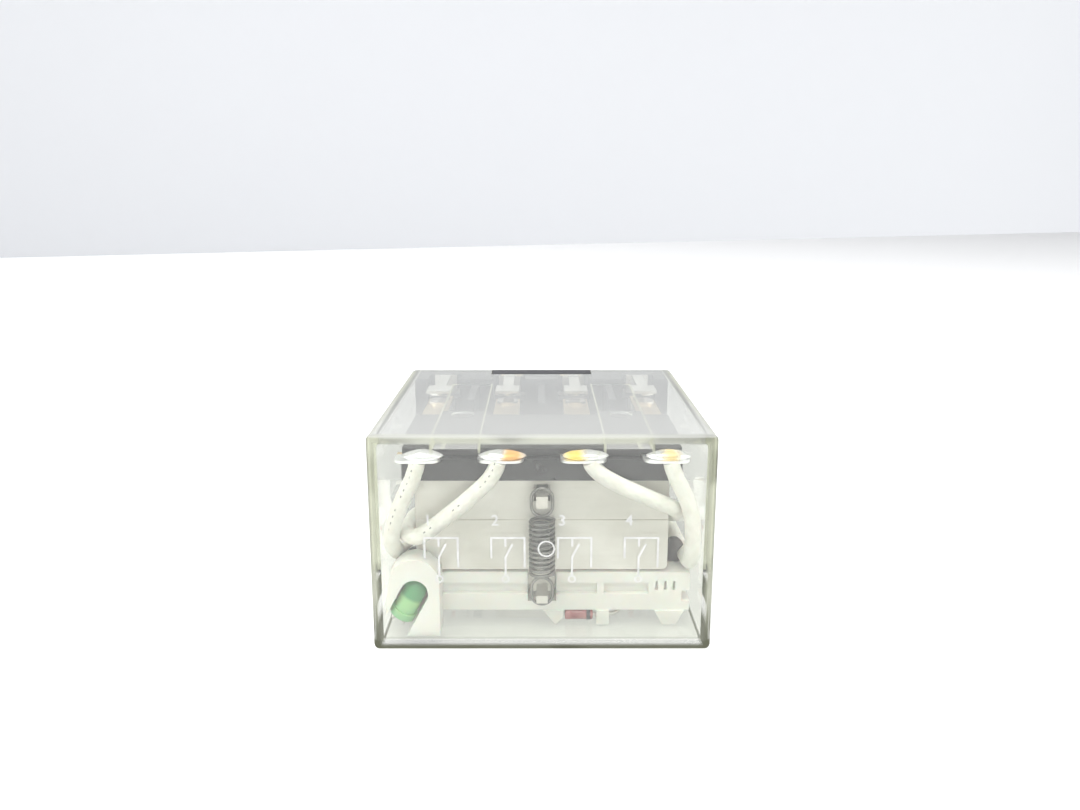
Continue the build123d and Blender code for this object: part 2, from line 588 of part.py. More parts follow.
def return_spring():
    """A close-wound tension spring with a long loop at each end, one over each tongue."""
    major = (SPRING_DIAMETER - SPRING_WIRE) / 2
    upper_z = (YOKE_BOTTOM + YOKE_TOP) / 2
    lower_z = (HOOK_BOTTOM + HOOK_TOP) / 2
    coil_low, coil_high = around((lower_z + upper_z) / 2, SPRING_COIL_LENGTH)
    helix = Helix(SPRING_COIL_LENGTH / SPRING_TURNS, SPRING_COIL_LENGTH, major)
    section = Plane(origin=helix @ 0, z_dir=helix % 0) * Circle(SPRING_WIRE / 2)
    body = Pos(0, SPRING_Y, coil_low) * sweep(section, path=helix, is_frenet=True)
    for end, tongue in ((coil_low, lower_z), (coil_high, upper_z)):
        near = end + (SPRING_WIRE if tongue > end else -SPRING_WIRE)
        body += rod(SPRING_WIRE, (major, SPRING_Y, end), (0, SPRING_Y, near))
        body += Pos(major, SPRING_Y, end) * Sphere(SPRING_WIRE / 2)
        body += spring_loop(end, tongue)
    return body


# --- White front moulding, lamp and diode -------------------------------------
def front_moulding():
    """The bars below the armature, the feet on the cover's floor and the lamp's hood."""
    bar = block((HOOD_RIGHT, BAR_RIGHT), (BAR_FRONT_Y, FLANGE_Y), (BAR_BOTTOM, BAR_TOP))
    groove_top = BAR_TOP - BAR_GROOVE_DROP
    groove_z = (groove_top - BAR_GROOVE_HEIGHT, groove_top)
    groove_y = (BAR_FRONT_Y - CUT_PAST, BAR_FRONT_Y + BAR_GROOVE_DEPTH)
    through_y = (BAR_FRONT_Y - CUT_PAST, FLANGE_Y + CUT_PAST)
    bar -= block((HOOD_RIGHT, BAR_POST_X - BAR_POST_WIDTH / 2), groove_y, groove_z)
    bar -= block((BAR_POST_X + BAR_POST_WIDTH / 2, BAR_RIGHT - BAR_GROOVE_END), groove_y, groove_z)
    bar -= block(around(0, BAR_WINDOW_WIDTH), through_y, (BAR_TOP - BAR_WINDOW_DROP, BAR_TOP + CUT_PAST))
    notch_z = around((BAR_TOP + BAR_BOTTOM) / 2 - BAR_GROOVE_DEPTH, BAR_NOTCH_HEIGHT)
    bar -= block((BAR_RIGHT - BAR_NOTCH_DEPTH, BAR_RIGHT + CUT_PAST), through_y, notch_z)
    bar -= rod(POLE_HEAD_DIAMETER + 2 * HOOD_REAR_GAP, (0, POLE_FACE_Y - BAR_GROOVE_DEPTH / 2, CORE_Z),
               (0, FLANGE_Y + CUT_PAST, CORE_Z))
    for i in range(TICKS):
        tick = BAR_RIGHT - TICK_INSET - i * TICK_PITCH
        bar -= block(around(tick, TICK_WIDTH), groove_y, (BAR_TOP - 2 * TICK_HEIGHT, BAR_TOP - TICK_HEIGHT))
    body = bar + lamp_hood()
    for outline in feet_outlines():
        body += plate(outline, (BAR_FRONT_Y - BAR_FRONT_PROUD, BAR_FRONT_Y + FOOT_LENGTH))
    tunnel = DIODE_LENGTH + DIODE_TAIL
    return body - rod(DIODE_LEAD + 2 * FIT_GAP, (DIODE_X - tunnel, DIODE_Y, DIODE_Z),
                      (DIODE_X + tunnel, DIODE_Y, DIODE_Z))


def feet_outlines():
    """A wedge, a block and a tapered foot, from the bar down to the cover's floor."""
    wedge_end = WEDGE_X + WEDGE_WIDTH
    wedge = [(WEDGE_X, BAR_BOTTOM), (wedge_end, BAR_BOTTOM), (wedge_end, BAR_BOTTOM - WEDGE_SHOULDER),
             (WEDGE_X + WEDGE_TIP, FOOT_BOTTOM)]
    return [wedge, foot_outline(FOOT_X, FOOT_WIDTH, FOOT_WIDTH),
            foot_outline(BAR_RIGHT - TAPER_FOOT_INSET, TAPER_FOOT_WIDTH, TAPER_FOOT_TIP)]


def foot_outline(x, top_width, tip_width):
    """A foot about x, as wide as given at the bar and at the floor."""
    top = around(x, top_width)
    tip = around(x, tip_width)
    return [(top[0], BAR_BOTTOM), (top[1], BAR_BOTTOM), (tip[1], FOOT_BOTTOM), (tip[0], FOOT_BOTTOM)]


def lamp_hood():
    """An arch over the tilted lamp, open to the front, on a plate in line with the bars."""
    depth = (HOOD_FRONT_Y, HOOD_REAR_Y)
    arch_x = HOOD_RIGHT - HOOD_ARC_RADIUS
    arch = rod(2 * HOOD_ARC_RADIUS, (arch_x, depth[0], BAR_TOP), (arch_x, depth[1], BAR_TOP))
    upper = block((HOOD_LEFT, HOOD_RIGHT), depth, (BAR_TOP, INNER_Z))
    right = block((arch_x, HOOD_RIGHT), depth, (FOOT_BOTTOM, BAR_TOP))
    shoulder = plate([(HOOD_LEFT, FOOT_BOTTOM), (HOOD_LEFT, BAR_TOP - HOOD_SHOULDER),
                      (arch_x - HOOD_ARC_RADIUS, BAR_TOP), (arch_x, BAR_TOP), (arch_x, FOOT_BOTTOM)], depth)
    backing = block((HOOD_LEFT, HOOD_RIGHT), (HOOD_REAR_Y, FLANGE_Y), (BAR_BOTTOM, BAR_TOP))
    return (arch & upper) + right + shoulder + backing - lamp_pocket(depth)


def lamp_pocket(depth):
    """The tilted slot for the lamp, round at its upper end and open below."""
    half = LED_FLANGE_DIAMETER / 2 + LED_POCKET_GAP
    low = LED_FOOT - LED_ALONG * LED_LENGTH
    high = LED_FOOT + LED_ALONG * (LED_LENGTH - LED_DIAMETER / 2 + LED_POCKET_GAP)
    across = LED_ACROSS * half
    corners = [low - across, high - across, high + across, low + across]
    slot = plate([(c.X, c.Z) for c in corners], depth)
    crown = rod(2 * half, (high.X, depth[0], high.Z), (high.X, depth[1], high.Z))
    right_wall = block((HOOD_RIGHT - HOOD_WALL, HOOD_RIGHT), depth, (-INNER_Z, BAR_TOP))
    return slot + crown - right_wall


def led():
    radius = LED_DIAMETER / 2
    dome = LED_FOOT + LED_ALONG * (LED_LENGTH - radius)
    body = rod(LED_FLANGE_DIAMETER, tuple(LED_FOOT), tuple(LED_FOOT + LED_ALONG * LED_FLANGE_THICKNESS))
    body += rod(LED_DIAMETER, tuple(LED_FOOT), tuple(dome))
    return body + Pos(*dome) * Sphere(radius)


def led_legs():
    """Two legs out of the lamp's foot, bent back to the moulding."""
    legs = []
    for side in (-1, 1):
        top = LED_FOOT + LED_ACROSS * (side * LED_PITCH / 2)
        corner = top - LED_ALONG * LED_LEG_LENGTH
        end = Vector(corner.X, HOOD_REAR_Y, corner.Z)
        legs.append(wire([tuple(top), tuple(corner), tuple(end)], LED_LEG, "led leg"))
    return legs


def diode():
    half = DIODE_LENGTH / 2
    body = rod(DIODE_DIAMETER, (DIODE_X - half, DIODE_Y, DIODE_Z), (DIODE_X + half, DIODE_Y, DIODE_Z))
    return fillet(body.edges(), DIODE_DIAMETER / 5)


def diode_leads():
    left_end = DIODE_X - DIODE_LENGTH / 2
    right_end = DIODE_X + DIODE_LENGTH / 2
    left = rod(DIODE_LEAD, (left_end - DIODE_TAIL / 2, DIODE_Y, DIODE_Z), (left_end, DIODE_Y, DIODE_Z))
    corner = right_end + DIODE_TAIL
    route = [(right_end, DIODE_Y, DIODE_Z), (corner, DIODE_Y, DIODE_Z),
             (corner + DIODE_LEAD_BEND, FLANGE_Y, DIODE_Z + DIODE_LEAD_RISE)]
    return [left, wire(route, DIODE_LEAD, "diode lead")]


def resistor():
    y = around((WINDING_FRONT_Y + WINDING_REAR_Y) / 2, RESISTOR_LENGTH)
    body = rod(RESISTOR_DIAMETER, (RESISTOR_X, y[0], RESISTOR_Z), (RESISTOR_X, y[1], RESISTOR_Z))
    return fillet(body.edges(), RESISTOR_DIAMETER / 5)


def resistor_leads():
    y = around((WINDING_FRONT_Y + WINDING_REAR_Y) / 2, RESISTOR_LENGTH)
    front = rod(RESISTOR_LEAD, (RESISTOR_X, WINDING_FRONT_Y, RESISTOR_Z), (RESISTOR_X, y[0], RESISTOR_Z))
    lug_z = COIL_ROW - BLADE_THICKNESS / 2 - RESISTOR_LEAD / 2
    lug_x = COIL_X[0] + LUG_WIDTH / 3
    lug_y = PLUG_Y - COIL_LUG_LENGTH
    route = [(RESISTOR_X, y[1], RESISTOR_Z), (RESISTOR_X, y[1] + RESISTOR_TAIL, RESISTOR_Z),
             (lug_x, lug_y - RESISTOR_TAIL / 2, lug_z), (lug_x, lug_y + RESISTOR_TAIL, lug_z)]
    return [front, wire(route, RESISTOR_LEAD, "resistor lead")]


def coil_lead(x):
    """An insulated wire from a coil lug to the front flange of the bobbin."""
    side = 1 if x > 0 else -1
    lug_z = COIL_ROW + BLADE_THICKNESS / 2 + COIL_LEAD_DIAMETER / 2
    lug_y = PLUG_Y - COIL_LUG_LENGTH
    near = x - side * COIL_LEAD_INSET
    level = COIL_ROW + COIL_LEAD_RISE
    route = [(x, lug_y + COIL_LEAD_INSET, lug_z), (x, lug_y - COIL_LEAD_RISE, lug_z),
             (near, lug_y - COIL_LEAD_RISE - COIL_LEAD_SPREAD, level), (near, WINDING_FRONT_Y, level)]
    return wire(route, COIL_LEAD_DIAMETER, "coil lead")


# --- Flexible leads -----------------------------------------------------------
def lead_routes():
    """From under each leaf, down and across the front, then back along the side to a lug."""
    y = INNER_FACE_Y + LEAD_SETBACK
    top = LEAF_BOTTOM
    on_lug = COM_ROW + BLADE_THICKNESS / 2 + LEAD_DIAMETER / 2
    beside_lug = SIDE_LUG_X + LEAD_DIAMETER / 2 + FIT_GAP
    side = INNER_X - LEAD_DIAMETER / 2 - LEAD_SIDE_GAP
    return {
        "lead_1": [(-15.0, y, top), (-15.0, y, 7.4), (1.1 - side, y, 4.6), (-side, y + 1.6, 2.0),
                   (-side, -27.6, 0.2), (0.1 - side, -20.5, -0.4),
                   (-15.3, -14.6, on_lug), (-15.0, -9.6, on_lug)],
        "lead_2": [(-5.3, y, top), (-5.3, y, 7.4), (-10.0, y, 3.6), (3.6 - side, y, 0.5),
                   (0.5 - side, y + 1.7, -1.0), (-side, -27.2, -2.9), (0.6 - side, -20.5, -4.3),
                   (-beside_lug - 0.3, -14.9, -3.4), (-beside_lug, -9.6, COM_ROW)],
        "lead_3": [(5.8, y, top), (5.8, y, 7.5), (12.0, y, 4.3), (side - 2.2, y, 1.3),
                   (side - 0.2, y + 1.7, -0.9), (side, -27.2, -2.7), (side - 0.6, -20.5, -4.2),
                   (beside_lug + 0.3, -14.9, -3.4), (beside_lug, -9.6, COM_ROW)],
        "lead_4": [(15.5, y, top), (15.5, y, 7.6), (side - 0.6, y, 4.9), (side, y + 1.5, 2.4),
                   (side, -27.6, 0.4), (side - 0.1, -20.5, -0.3),
                   (15.3, -14.6, on_lug), (15.0, -9.6, on_lug)],
    }


def main():
    os.makedirs("parts", exist_ok=True)
    save("cover", cover())
    save("base_moulding", base_moulding())
    save("yoke", yoke())
    save("core", core())
    save("bobbin", bobbin())
    save("winding", ring(WINDING_DIAMETER, TUBE_DIAMETER, WINDING_FRONT_Y, WINDING_REAR_Y))
    save("coil_tape", ring(WINDING_DIAMETER + 2 * TAPE_THICKNESS, WINDING_DIAMETER,
                           WINDING_FRONT_Y + TAPE_MARGIN, WINDING_REAR_Y - TAPE_MARGIN))
    for number, x in enumerate(POLE_X, start=1):
        save(f"no_terminal_{number}", no_terminal(x))
        save(f"nc_terminal_{number}", nc_terminal(x))
        save(f"com_terminal_{number}", com_terminal(x))
        save(f"moving_leaf_{number}", moving_leaf(x))
    save("coil_terminal_1", coil_terminal(COIL_X[0]))
    save("coil_terminal_2", coil_terminal(COIL_X[1]))
    save("no_contacts", *[contact_rivet(x, NO_FACE_Z, NO_STRIP_BOTTOM) for x in POLE_X])
    save("nc_contacts", *[contact_rivet(x, NC_STRIP_TOP, NC_FACE_Z) for x in POLE_X])
    save("moving_contacts", *[moving_contact(x) for x in POLE_X])
    save("solder_joints", *[solder_joint(x) for x in POLE_X])
    save("moving_block", moving_block())
    save("armature", armature())
    save("return_spring", return_spring())
    save("front_moulding", front_moulding())
    save("led", led())
    save("led_legs", *led_legs())
    save("diode", diode())
    save("diode_leads", *diode_leads())
    save("resistor", resistor())
    save("resistor_leads", *resistor_leads())
    save("coil_lead_1", coil_lead(COIL_X[0]))
    save("coil_lead_2", coil_lead(COIL_X[1]))
    for name, route in lead_routes().items():
        save(name, wire(route, LEAD_DIAMETER, name))


main()
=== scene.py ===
# %% [markdown]
# # A plug-in control relay in a clear cover
# The relay is built in two tools. The solid model holds every piece at its real size, and this script
# gives the pieces their finish. It also makes what solids are poor at: a wound spring and coil, soft
# sleeved leads, beads of solder, and the print on the cover. All lengths are in metres, in the frame of
# the solid model: X along the row of poles, +Y out along the blades, +Z up towards the contacts.

from math import cos, pi, radians, sin

import bmesh
import bpy
from mathutils import Matrix, Vector


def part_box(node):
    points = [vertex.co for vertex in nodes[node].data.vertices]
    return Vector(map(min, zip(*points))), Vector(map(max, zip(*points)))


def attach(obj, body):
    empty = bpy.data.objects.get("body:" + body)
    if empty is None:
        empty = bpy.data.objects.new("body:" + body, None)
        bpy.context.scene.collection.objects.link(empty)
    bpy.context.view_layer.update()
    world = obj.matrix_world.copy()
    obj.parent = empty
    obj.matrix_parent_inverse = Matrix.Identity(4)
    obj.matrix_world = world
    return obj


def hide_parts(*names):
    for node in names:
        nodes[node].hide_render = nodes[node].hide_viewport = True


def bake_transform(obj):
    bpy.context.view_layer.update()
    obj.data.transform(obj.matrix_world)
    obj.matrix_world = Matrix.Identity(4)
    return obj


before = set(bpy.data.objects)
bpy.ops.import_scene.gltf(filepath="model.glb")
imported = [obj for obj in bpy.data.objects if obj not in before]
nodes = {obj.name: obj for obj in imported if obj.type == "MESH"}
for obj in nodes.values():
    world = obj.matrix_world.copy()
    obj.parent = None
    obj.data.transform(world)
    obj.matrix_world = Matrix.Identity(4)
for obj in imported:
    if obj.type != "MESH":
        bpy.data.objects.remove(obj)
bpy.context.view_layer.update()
MM = 0.001

# %% [markdown]
# ## Places read from the frame
# Nothing is measured twice. Each place below is a corner of a node's box, so a changed solid carries
# its finish and its details along with it.

# %% Boxes of the cover and the leaves
cover_low, cover_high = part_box("cover")
leaf_boxes = [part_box(f"moving_leaf_{n}") for n in range(1, 5)]
pole_x = [(low.x + high.x) / 2 for low, high in leaf_boxes]
leaf_front, leaf_bottom = leaf_boxes[0][0].y, leaf_boxes[0][0].z
print("cover", cover_low, cover_high)
print("poles at", [round(x / MM, 2) for x in pole_x], "mm")

# %% [markdown]
# ## The camera
# The relay is small, so the camera stands close: about nine centimetres from the cover's face and a
# little above it, which makes the upper side and the face taper. A small shift of the lens moves the
# relay up in the frame, and leaves that taper as it is.

# %% Camera
CAMERA_PLACE = Vector((-0.33, -124.5, 41.7)) * MM
CAMERA_PITCH = radians(11.07)
CAMERA_TURN = radians(-0.05)
LENS_PER_WIDTH = 0.7330
LENS_SHIFT = -0.0539
SENSOR = 36.0
NEAREST_SEEN = 5 * MM
camera_data = bpy.data.cameras.new("camera")
camera_data.sensor_width = SENSOR
camera_data.lens = LENS_PER_WIDTH * SENSOR
camera_data.shift_y = LENS_SHIFT
camera_data.clip_start = NEAREST_SEEN
camera = bpy.data.objects.new("camera", camera_data)
camera.location = CAMERA_PLACE
camera.rotation_euler = (pi / 2 - CAMERA_PITCH, 0, CAMERA_TURN)
bpy.context.scene.collection.objects.link(camera)
bpy.context.scene.camera = camera
print("camera", round(-CAMERA_PLACE.y / MM), "mm out, lens", round(camera_data.lens, 1))

# %% [markdown]
# ## Helpers for materials
# Every finish is a small network of shader nodes. Two helpers keep them short: one starts a Principled
# material, and one adds a node and sets its sockets by name. All patterns read Object coordinates. The
# pieces sit at the origin, so those are plain metres, and a pattern's scale is in cycles per metre.

# %% Starting a material
def start_material(name, colour, roughness=0.5, metallic=0.0, **sockets):
    material = bpy.data.materials.new(name)
    material.use_nodes = True
    shader = material.node_tree.nodes["Principled BSDF"]
    shader.inputs["Base Color"].default_value = (*colour, 1)
    shader.inputs["Roughness"].default_value = roughness
    shader.inputs["Metallic"].default_value = metallic
    for socket, value in sockets.items():
        shader.inputs[socket.replace("_", " ")].default_value = value
    return material


def add(material, kind, **sockets):
    node = material.node_tree.nodes.new(kind)
    for socket, value in sockets.items():
        node.inputs[socket.replace("_", " ")].default_value = value
    return node


def join(material, source, out_name, target, in_name):
    material.node_tree.links.new(source.outputs[out_name], target.inputs[in_name])


def shader_of(material):
    return material.node_tree.nodes["Principled BSDF"]


# %% [markdown]
# Most finishes need the same three things from a pattern of noise: a colour that wanders between two
# tones, a shine that isn't even, and a fine relief. Each is one helper. The last helper puts a finished
# material on the nodes of the solid model.

# %% Colour, shine and relief from a pattern
def place_of(material, stretch=(1, 1, 1)):
    """Object coordinates, stretched along the axes for grain that has a direction."""
    coordinates = add(material, "ShaderNodeTexCoord")
    mapping = add(material, "ShaderNodeMapping", Scale=stretch)
    join(material, coordinates, "Object", mapping, "Vector")
    return mapping


def noise(material, scale, detail=3.0, stretch=(1, 1, 1)):
    texture = add(material, "ShaderNodeTexNoise", Scale=scale, Detail=detail)
    join(material, place_of(material, stretch), "Vector", texture, "Vector")
    return texture


def tint(material, low, high, source, start=0.35, stop=0.65):
    """A base colour that wanders between two tones with a pattern."""
    ramp = add(material, "ShaderNodeValToRGB")
    ends = ramp.color_ramp.elements
    ends[0].position, ends[1].position = start, stop
    ends[0].color, ends[1].color = (*low, 1), (*high, 1)
    join(material, source, source.outputs[0].name, ramp, "Fac")
    join(material, ramp, "Color", shader_of(material), "Base Color")
    return ramp


def roughen(material, source, low, high):
    spread = add(material, "ShaderNodeMapRange", To_Min=low, To_Max=high)
    join(material, source, source.outputs[0].name, spread, "Value")
    join(material, spread, "Result", shader_of(material), "Roughness")


def bump(material, source, strength, depth):
    """Fine relief from a pattern; depth is in metres."""
    relief = add(material, "ShaderNodeBump", Strength=strength, Distance=depth)
    join(material, source, source.outputs[0].name, relief, "Height")
    earlier = shader_of(material).inputs["Normal"].links
    if earlier:
        material.node_tree.links.new(earlier[0].from_socket, relief.inputs["Normal"])
    join(material, relief, "Normal", shader_of(material), "Normal")


def dress(material, *names):
    """Put one material in every slot of these CAD nodes."""
    for name in names:
        for slot in nodes[name].material_slots:
            slot.material = material
    print(material.name, "on", len(names), "nodes")


# %% [markdown]
# Some finishes change from one place on a piece to another. They need sums on the coordinates, so four
# more helpers do one step of arithmetic, a soft step, a blend of two colours, and the split into axes.

# %% Sums in a material
def calc(material, operation, *values):
    """One step of arithmetic on numbers or sockets; returns the socket of the result."""
    node = add(material, "ShaderNodeMath")
    node.operation = operation
    for socket, value in zip(node.inputs, values):
        if isinstance(value, bpy.types.NodeSocket):
            material.node_tree.links.new(value, socket)
        else:
            socket.default_value = value
    return node.outputs[0]


def fade(material, value, start, stop, low=0.0, high=1.0):
    """A soft step from low to high as the value goes from start to stop."""
    node = add(material, "ShaderNodeMapRange", From_Min=start, From_Max=stop, To_Min=low, To_Max=high)
    node.interpolation_type = "SMOOTHSTEP"
    material.node_tree.links.new(value, node.inputs["Value"])
    return node.outputs["Result"]


def between(material, low, high, share):
    """The colour that lies a share of the way from low to high."""
    ramp = add(material, "ShaderNodeValToRGB")
    ramp.color_ramp.elements[0].color, ramp.color_ramp.elements[1].color = (*low, 1), (*high, 1)
    material.node_tree.links.new(share, ramp.inputs["Fac"])
    return ramp.outputs["Color"]


def axes_of(material):
    split = add(material, "ShaderNodeSeparateXYZ")
    join(material, add(material, "ShaderNodeTexCoord"), "Object", split, "Vector")
    return list(split.outputs)


# %% [markdown]
# ## Clear cover
# The cover is injection-moulded polycarbonate, 1.2 mm thick. Clear plastic shows itself by what it bends, so
# the shader is full transmission with the plastic's own index. Its edges also glow: light is caught inside
# the walls, runs along them and gets out at the edges. A path tracer finds very little of that light, so it
# is painted on here as a glow over a share of the surface, by how far a point is from the nearest edge of the
# cover's box. It is painted light, pale yellow-green, above, and painted shade, dark olive, near the floor.
# The edges of the two raised pads under the upper wall get the same painted light.

# %% Edges of the cover and of its pads
WALL = 1.2 * MM
PAD_INNER, PAD_OUTER, PAD_REAR = 7.4 * MM, 13.1 * MM, -9.5 * MM
PAD_TOP, PAD_BOTTOM = cover_high.z - 0.6 * MM, cover_high.z - 2.0 * MM
LINE_HALF = 0.08 * MM
SOFT = 0.1 * MM


def edge_distance(material, axes, low, high):
    """How far a point of a box's side is from the nearest edge: the middle one of three distances."""
    middle, half = (low + high) / 2, (high - low) / 2
    offsets = [calc(material, "ABSOLUTE", calc(material, "SUBTRACT", axes[i], middle[i])) for i in range(3)]
    across, deep, tall = [calc(material, "SUBTRACT", half[i], offsets[i]) for i in range(3)]
    lesser, greater = calc(material, "MINIMUM", across, deep), calc(material, "MAXIMUM", across, deep)
    return calc(material, "MAXIMUM", lesser, calc(material, "MINIMUM", greater, tall))


def pad_lines(material, axes):
    """The edges of the two raised pads under the cover's upper wall."""
    aside = calc(material, "ABSOLUTE", axes[0])
    inner = calc(material, "ABSOLUTE", calc(material, "SUBTRACT", aside, PAD_INNER))
    outer = calc(material, "ABSOLUTE", calc(material, "SUBTRACT", aside, PAD_OUTER))
    line = fade(material, calc(material, "MINIMUM", inner, outer), LINE_HALF + 0.12 * MM, LINE_HALF)
    upper = calc(material, "MULTIPLY", fade(material, axes[2], PAD_BOTTOM - SOFT, PAD_BOTTOM),
                 fade(material, axes[2], PAD_TOP + SOFT, PAD_TOP))
    before = fade(material, axes[1], PAD_REAR + 2 * SOFT, PAD_REAR + SOFT)
    return calc(material, "MULTIPLY", line, calc(material, "MULTIPLY", upper, before))


# %% [markdown]
# The painted glow is one plain emission whose colour runs between the dark and the pale tone, in slow
# streaks, and stays dark near the floor. It covers a share of the surface along the edges: more of it at the
# floor, where its dark tone is painted shade on the cover's lower band, and little at the rear, where the
# cover goes over the base.

# %% Painted light and shade along the edges
# The dark tone is painted shade and the pale tone is painted light, both in the edges' glow.
EDGE_DARK, EDGE_PALE = (0.08, 0.085, 0.05), (0.70, 0.72, 0.57)
EDGE_SHARE, LINE_SHARE = 0.56, 0.55
FLOOR_GAIN, REAR_LEFT = 1.7, 0.15
STREAK_LEAST, LOW_LEAST = 0.35, 0.12
PALE_FROM = 8 * MM


def caught_light(material, axes):
    """The painted glow of the edges: painted shade near the floor, painted light in streaks above it."""
    streaks = fade(material, noise(material, 85.0, 2.0).outputs[0], 0.36, 0.46, STREAK_LEAST)
    height = fade(material, axes[2], cover_low.z + WALL, cover_low.z + PALE_FROM, LOW_LEAST)
    glow = add(material, "ShaderNodeEmission")
    colour = between(material, EDGE_DARK, EDGE_PALE, calc(material, "MULTIPLY", streaks, height))
    material.node_tree.links.new(colour, glow.inputs["Color"])
    return glow


def caught_share(material, axes, floor_side):
    """How much of the surface that glow covers: the edges of the box, and the edges of the pads."""
    distance = edge_distance(material, axes, cover_low, cover_high)
    edges = fade(material, distance, WALL, 0.5 * WALL, 0, EDGE_SHARE)
    edges = calc(material, "MULTIPLY", edges, fade(material, floor_side, 0, 1, 1.0, FLOOR_GAIN))
    rear = fade(material, axes[1], cover_high.y - 1.5 * MM, cover_high.y - 0.7 * MM, 1.0, REAR_LEFT)
    edges = calc(material, "MULTIPLY", edges, rear)
    lines = calc(material, "MULTIPLY", pad_lines(material, axes), LINE_SHARE)
    return calc(material, "MAXIMUM", edges, lines)


# %% [markdown]
# Two more things are laid over the refraction. The upper wall carries a painted reflection, a pale glow for
# the soft shine of a bright room on it, denser towards the front. And a ray from a lamp would be stopped by a
# refracting wall, so rays from lamps take a plain see-through shader instead, and what is inside is lit as
# through a real window. The walls at the sides and under the relay are tinted darker as painted shade. The
# lower wall passes less both for the eye and for lamps, which darkens the floor under the relay, and the side
# walls are darker for the eye alone.

# %% Clear plastic
# Tones of the clear plastic; the darker ones are painted shade for the walls at the sides and under the
# relay.
CLEAR, CLEAR_SHADED = (0.965, 0.975, 0.93), (0.68, 0.69, 0.66)
PASSED, PASSED_SHADED = (0.95, 0.955, 0.94), (0.82, 0.825, 0.80)
SIDE_SHADE = 0.2
# The painted reflection on the upper wall: its colour, and its share at the rear and at the front.
PAINTED_SHEEN = (0.90, 0.91, 0.89)
PAINTED_SHEEN_REAR, PAINTED_SHEEN_FRONT, PAINTED_SHEEN_STARTS = 0.24, 0.52, -12 * MM


def laid_over(material, under, over, share):
    """A shader that covers a share of another; returns the node of the mix."""
    mix = add(material, "ShaderNodeMixShader")
    for feed, socket in ((share, mix.inputs["Fac"]), (under.outputs[0], mix.inputs[1]),
                         (over.outputs[0], mix.inputs[2])):
        material.node_tree.links.new(feed, socket)
    return mix


def clear_plastic(name, index, clarity):
    """Refraction for the eye, see-through for lamps, a painted glow along the edges, a painted reflection on
    the upper wall and painted shade in the side and lower walls.
    """
    material = start_material(name, CLEAR, 0.0, IOR=index, Transmission_Weight=clarity)
    links = material.node_tree.links
    axes = axes_of(material)
    thick, thin = 1.3 * WALL, 1.1 * WALL
    # Painted shade in the lower wall, for the eye and for lamps, and in the side walls, for the eye alone.
    floor_side = fade(material, axes[2], cover_low.z + thick, cover_low.z + thin)
    aside = calc(material, "ABSOLUTE", axes[0])
    wall_side = fade(material, aside, cover_high.x - thick, cover_high.x - thin, 0.0, SIDE_SHADE)
    shaded_walls = calc(material, "MAXIMUM", floor_side, wall_side)
    links.new(between(material, CLEAR, CLEAR_SHADED, shaded_walls), shader_of(material).inputs["Base Color"])
    share = caught_share(material, axes, floor_side)
    seen = laid_over(material, shader_of(material), caught_light(material, axes), share)
    top = fade(material, axes[2], cover_high.z - 0.3 * MM, cover_high.z - 0.1 * MM)
    depth = fade(material, axes[1], PAINTED_SHEEN_STARTS, cover_low.y, PAINTED_SHEEN_REAR, PAINTED_SHEEN_FRONT)
    # A painted reflection on the upper wall, as a pale glow.
    painted_sheen = add(material, "ShaderNodeEmission", Color=(*PAINTED_SHEEN, 1))
    seen = laid_over(material, seen, painted_sheen, calc(material, "MULTIPLY", top, depth))
    window = add(material, "ShaderNodeBsdfTransparent")
    links.new(between(material, PASSED, PASSED_SHADED, floor_side), window.inputs["Color"])
    from_lamp = add(material, "ShaderNodeLightPath").outputs["Is Shadow Ray"]
    finish = laid_over(material, seen, window, from_lamp)
    links.new(finish.outputs[0], material.node_tree.nodes["Material Output"].inputs["Surface"])
    return material


cover_plastic = clear_plastic("clear_polycarbonate", 1.585, 0.985)
flow_marks = noise(cover_plastic, 130.0, 1.0)
bump(cover_plastic, flow_marks, 0.03, 0.04 * MM)
dress(cover_plastic, "cover")

# %% [markdown]
# ## Pieces made of loops
# A few small pieces are made point by point: a loop of points, a band of faces from it to the next loop,
# and so on. One helper makes the band. The other turns all faces outwards, once the mesh is closed, and
# makes it a piece with its material.

# %% Bands and finished pieces
def joined_loops(mesh, before, after):
    """A band of four-sided faces between two loops of as many points."""
    for k in range(len(before)):
        other = (k + 1) % len(before)
        mesh.faces.new((before[k], before[other], after[other], after[k]))


def finished_piece(name, mesh, material):
    """Turn the faces of a closed mesh outwards and make it an object with one material."""
    bmesh.ops.recalc_face_normals(mesh, faces=mesh.faces)
    data = bpy.data.meshes.new(name)
    mesh.to_mesh(data)
    mesh.free()
    data.materials.append(material)
    piece = bpy.data.objects.new(name, data)
    bpy.context.scene.collection.objects.link(piece)
    return piece


# %% [markdown]
# ## Ground rim of the cover
# The edge of the cover that meets the base is trimmed after moulding, so it is ground and pale, not clear.
# That edge matters from the front too: it is what one sees when looking along inside a clear side wall. It is
# given a painted glow, pale yellow-green, so that it shows as painted light all the way down the wall. It is
# modelled as a closed skin, a few hundredths of a millimetre thick, in the gap between the cover and the
# base, on both sides.

# %% Ground rim
RIM_SKIN = 0.03 * MM
RIM_CORNER = 0.5 * MM
# Strength of the rim's painted glow.
PAINTED_RIM_GLOW = 0.45


def half_rim(side):
    """The ground strip on one side of the cover, as a front loop and a rear loop."""
    reach, inner = side * cover_high.x, side * (cover_high.x - WALL)
    outline = [(reach, cover_low.z + RIM_CORNER), (reach, cover_high.z - RIM_CORNER),
               (inner, cover_high.z - WALL), (inner, cover_low.z + RIM_CORNER)]
    front = cover_high.y + RIM_SKIN / 3
    return [[(x, y, z) for x, z in outline] for y in (front, front + RIM_SKIN)]


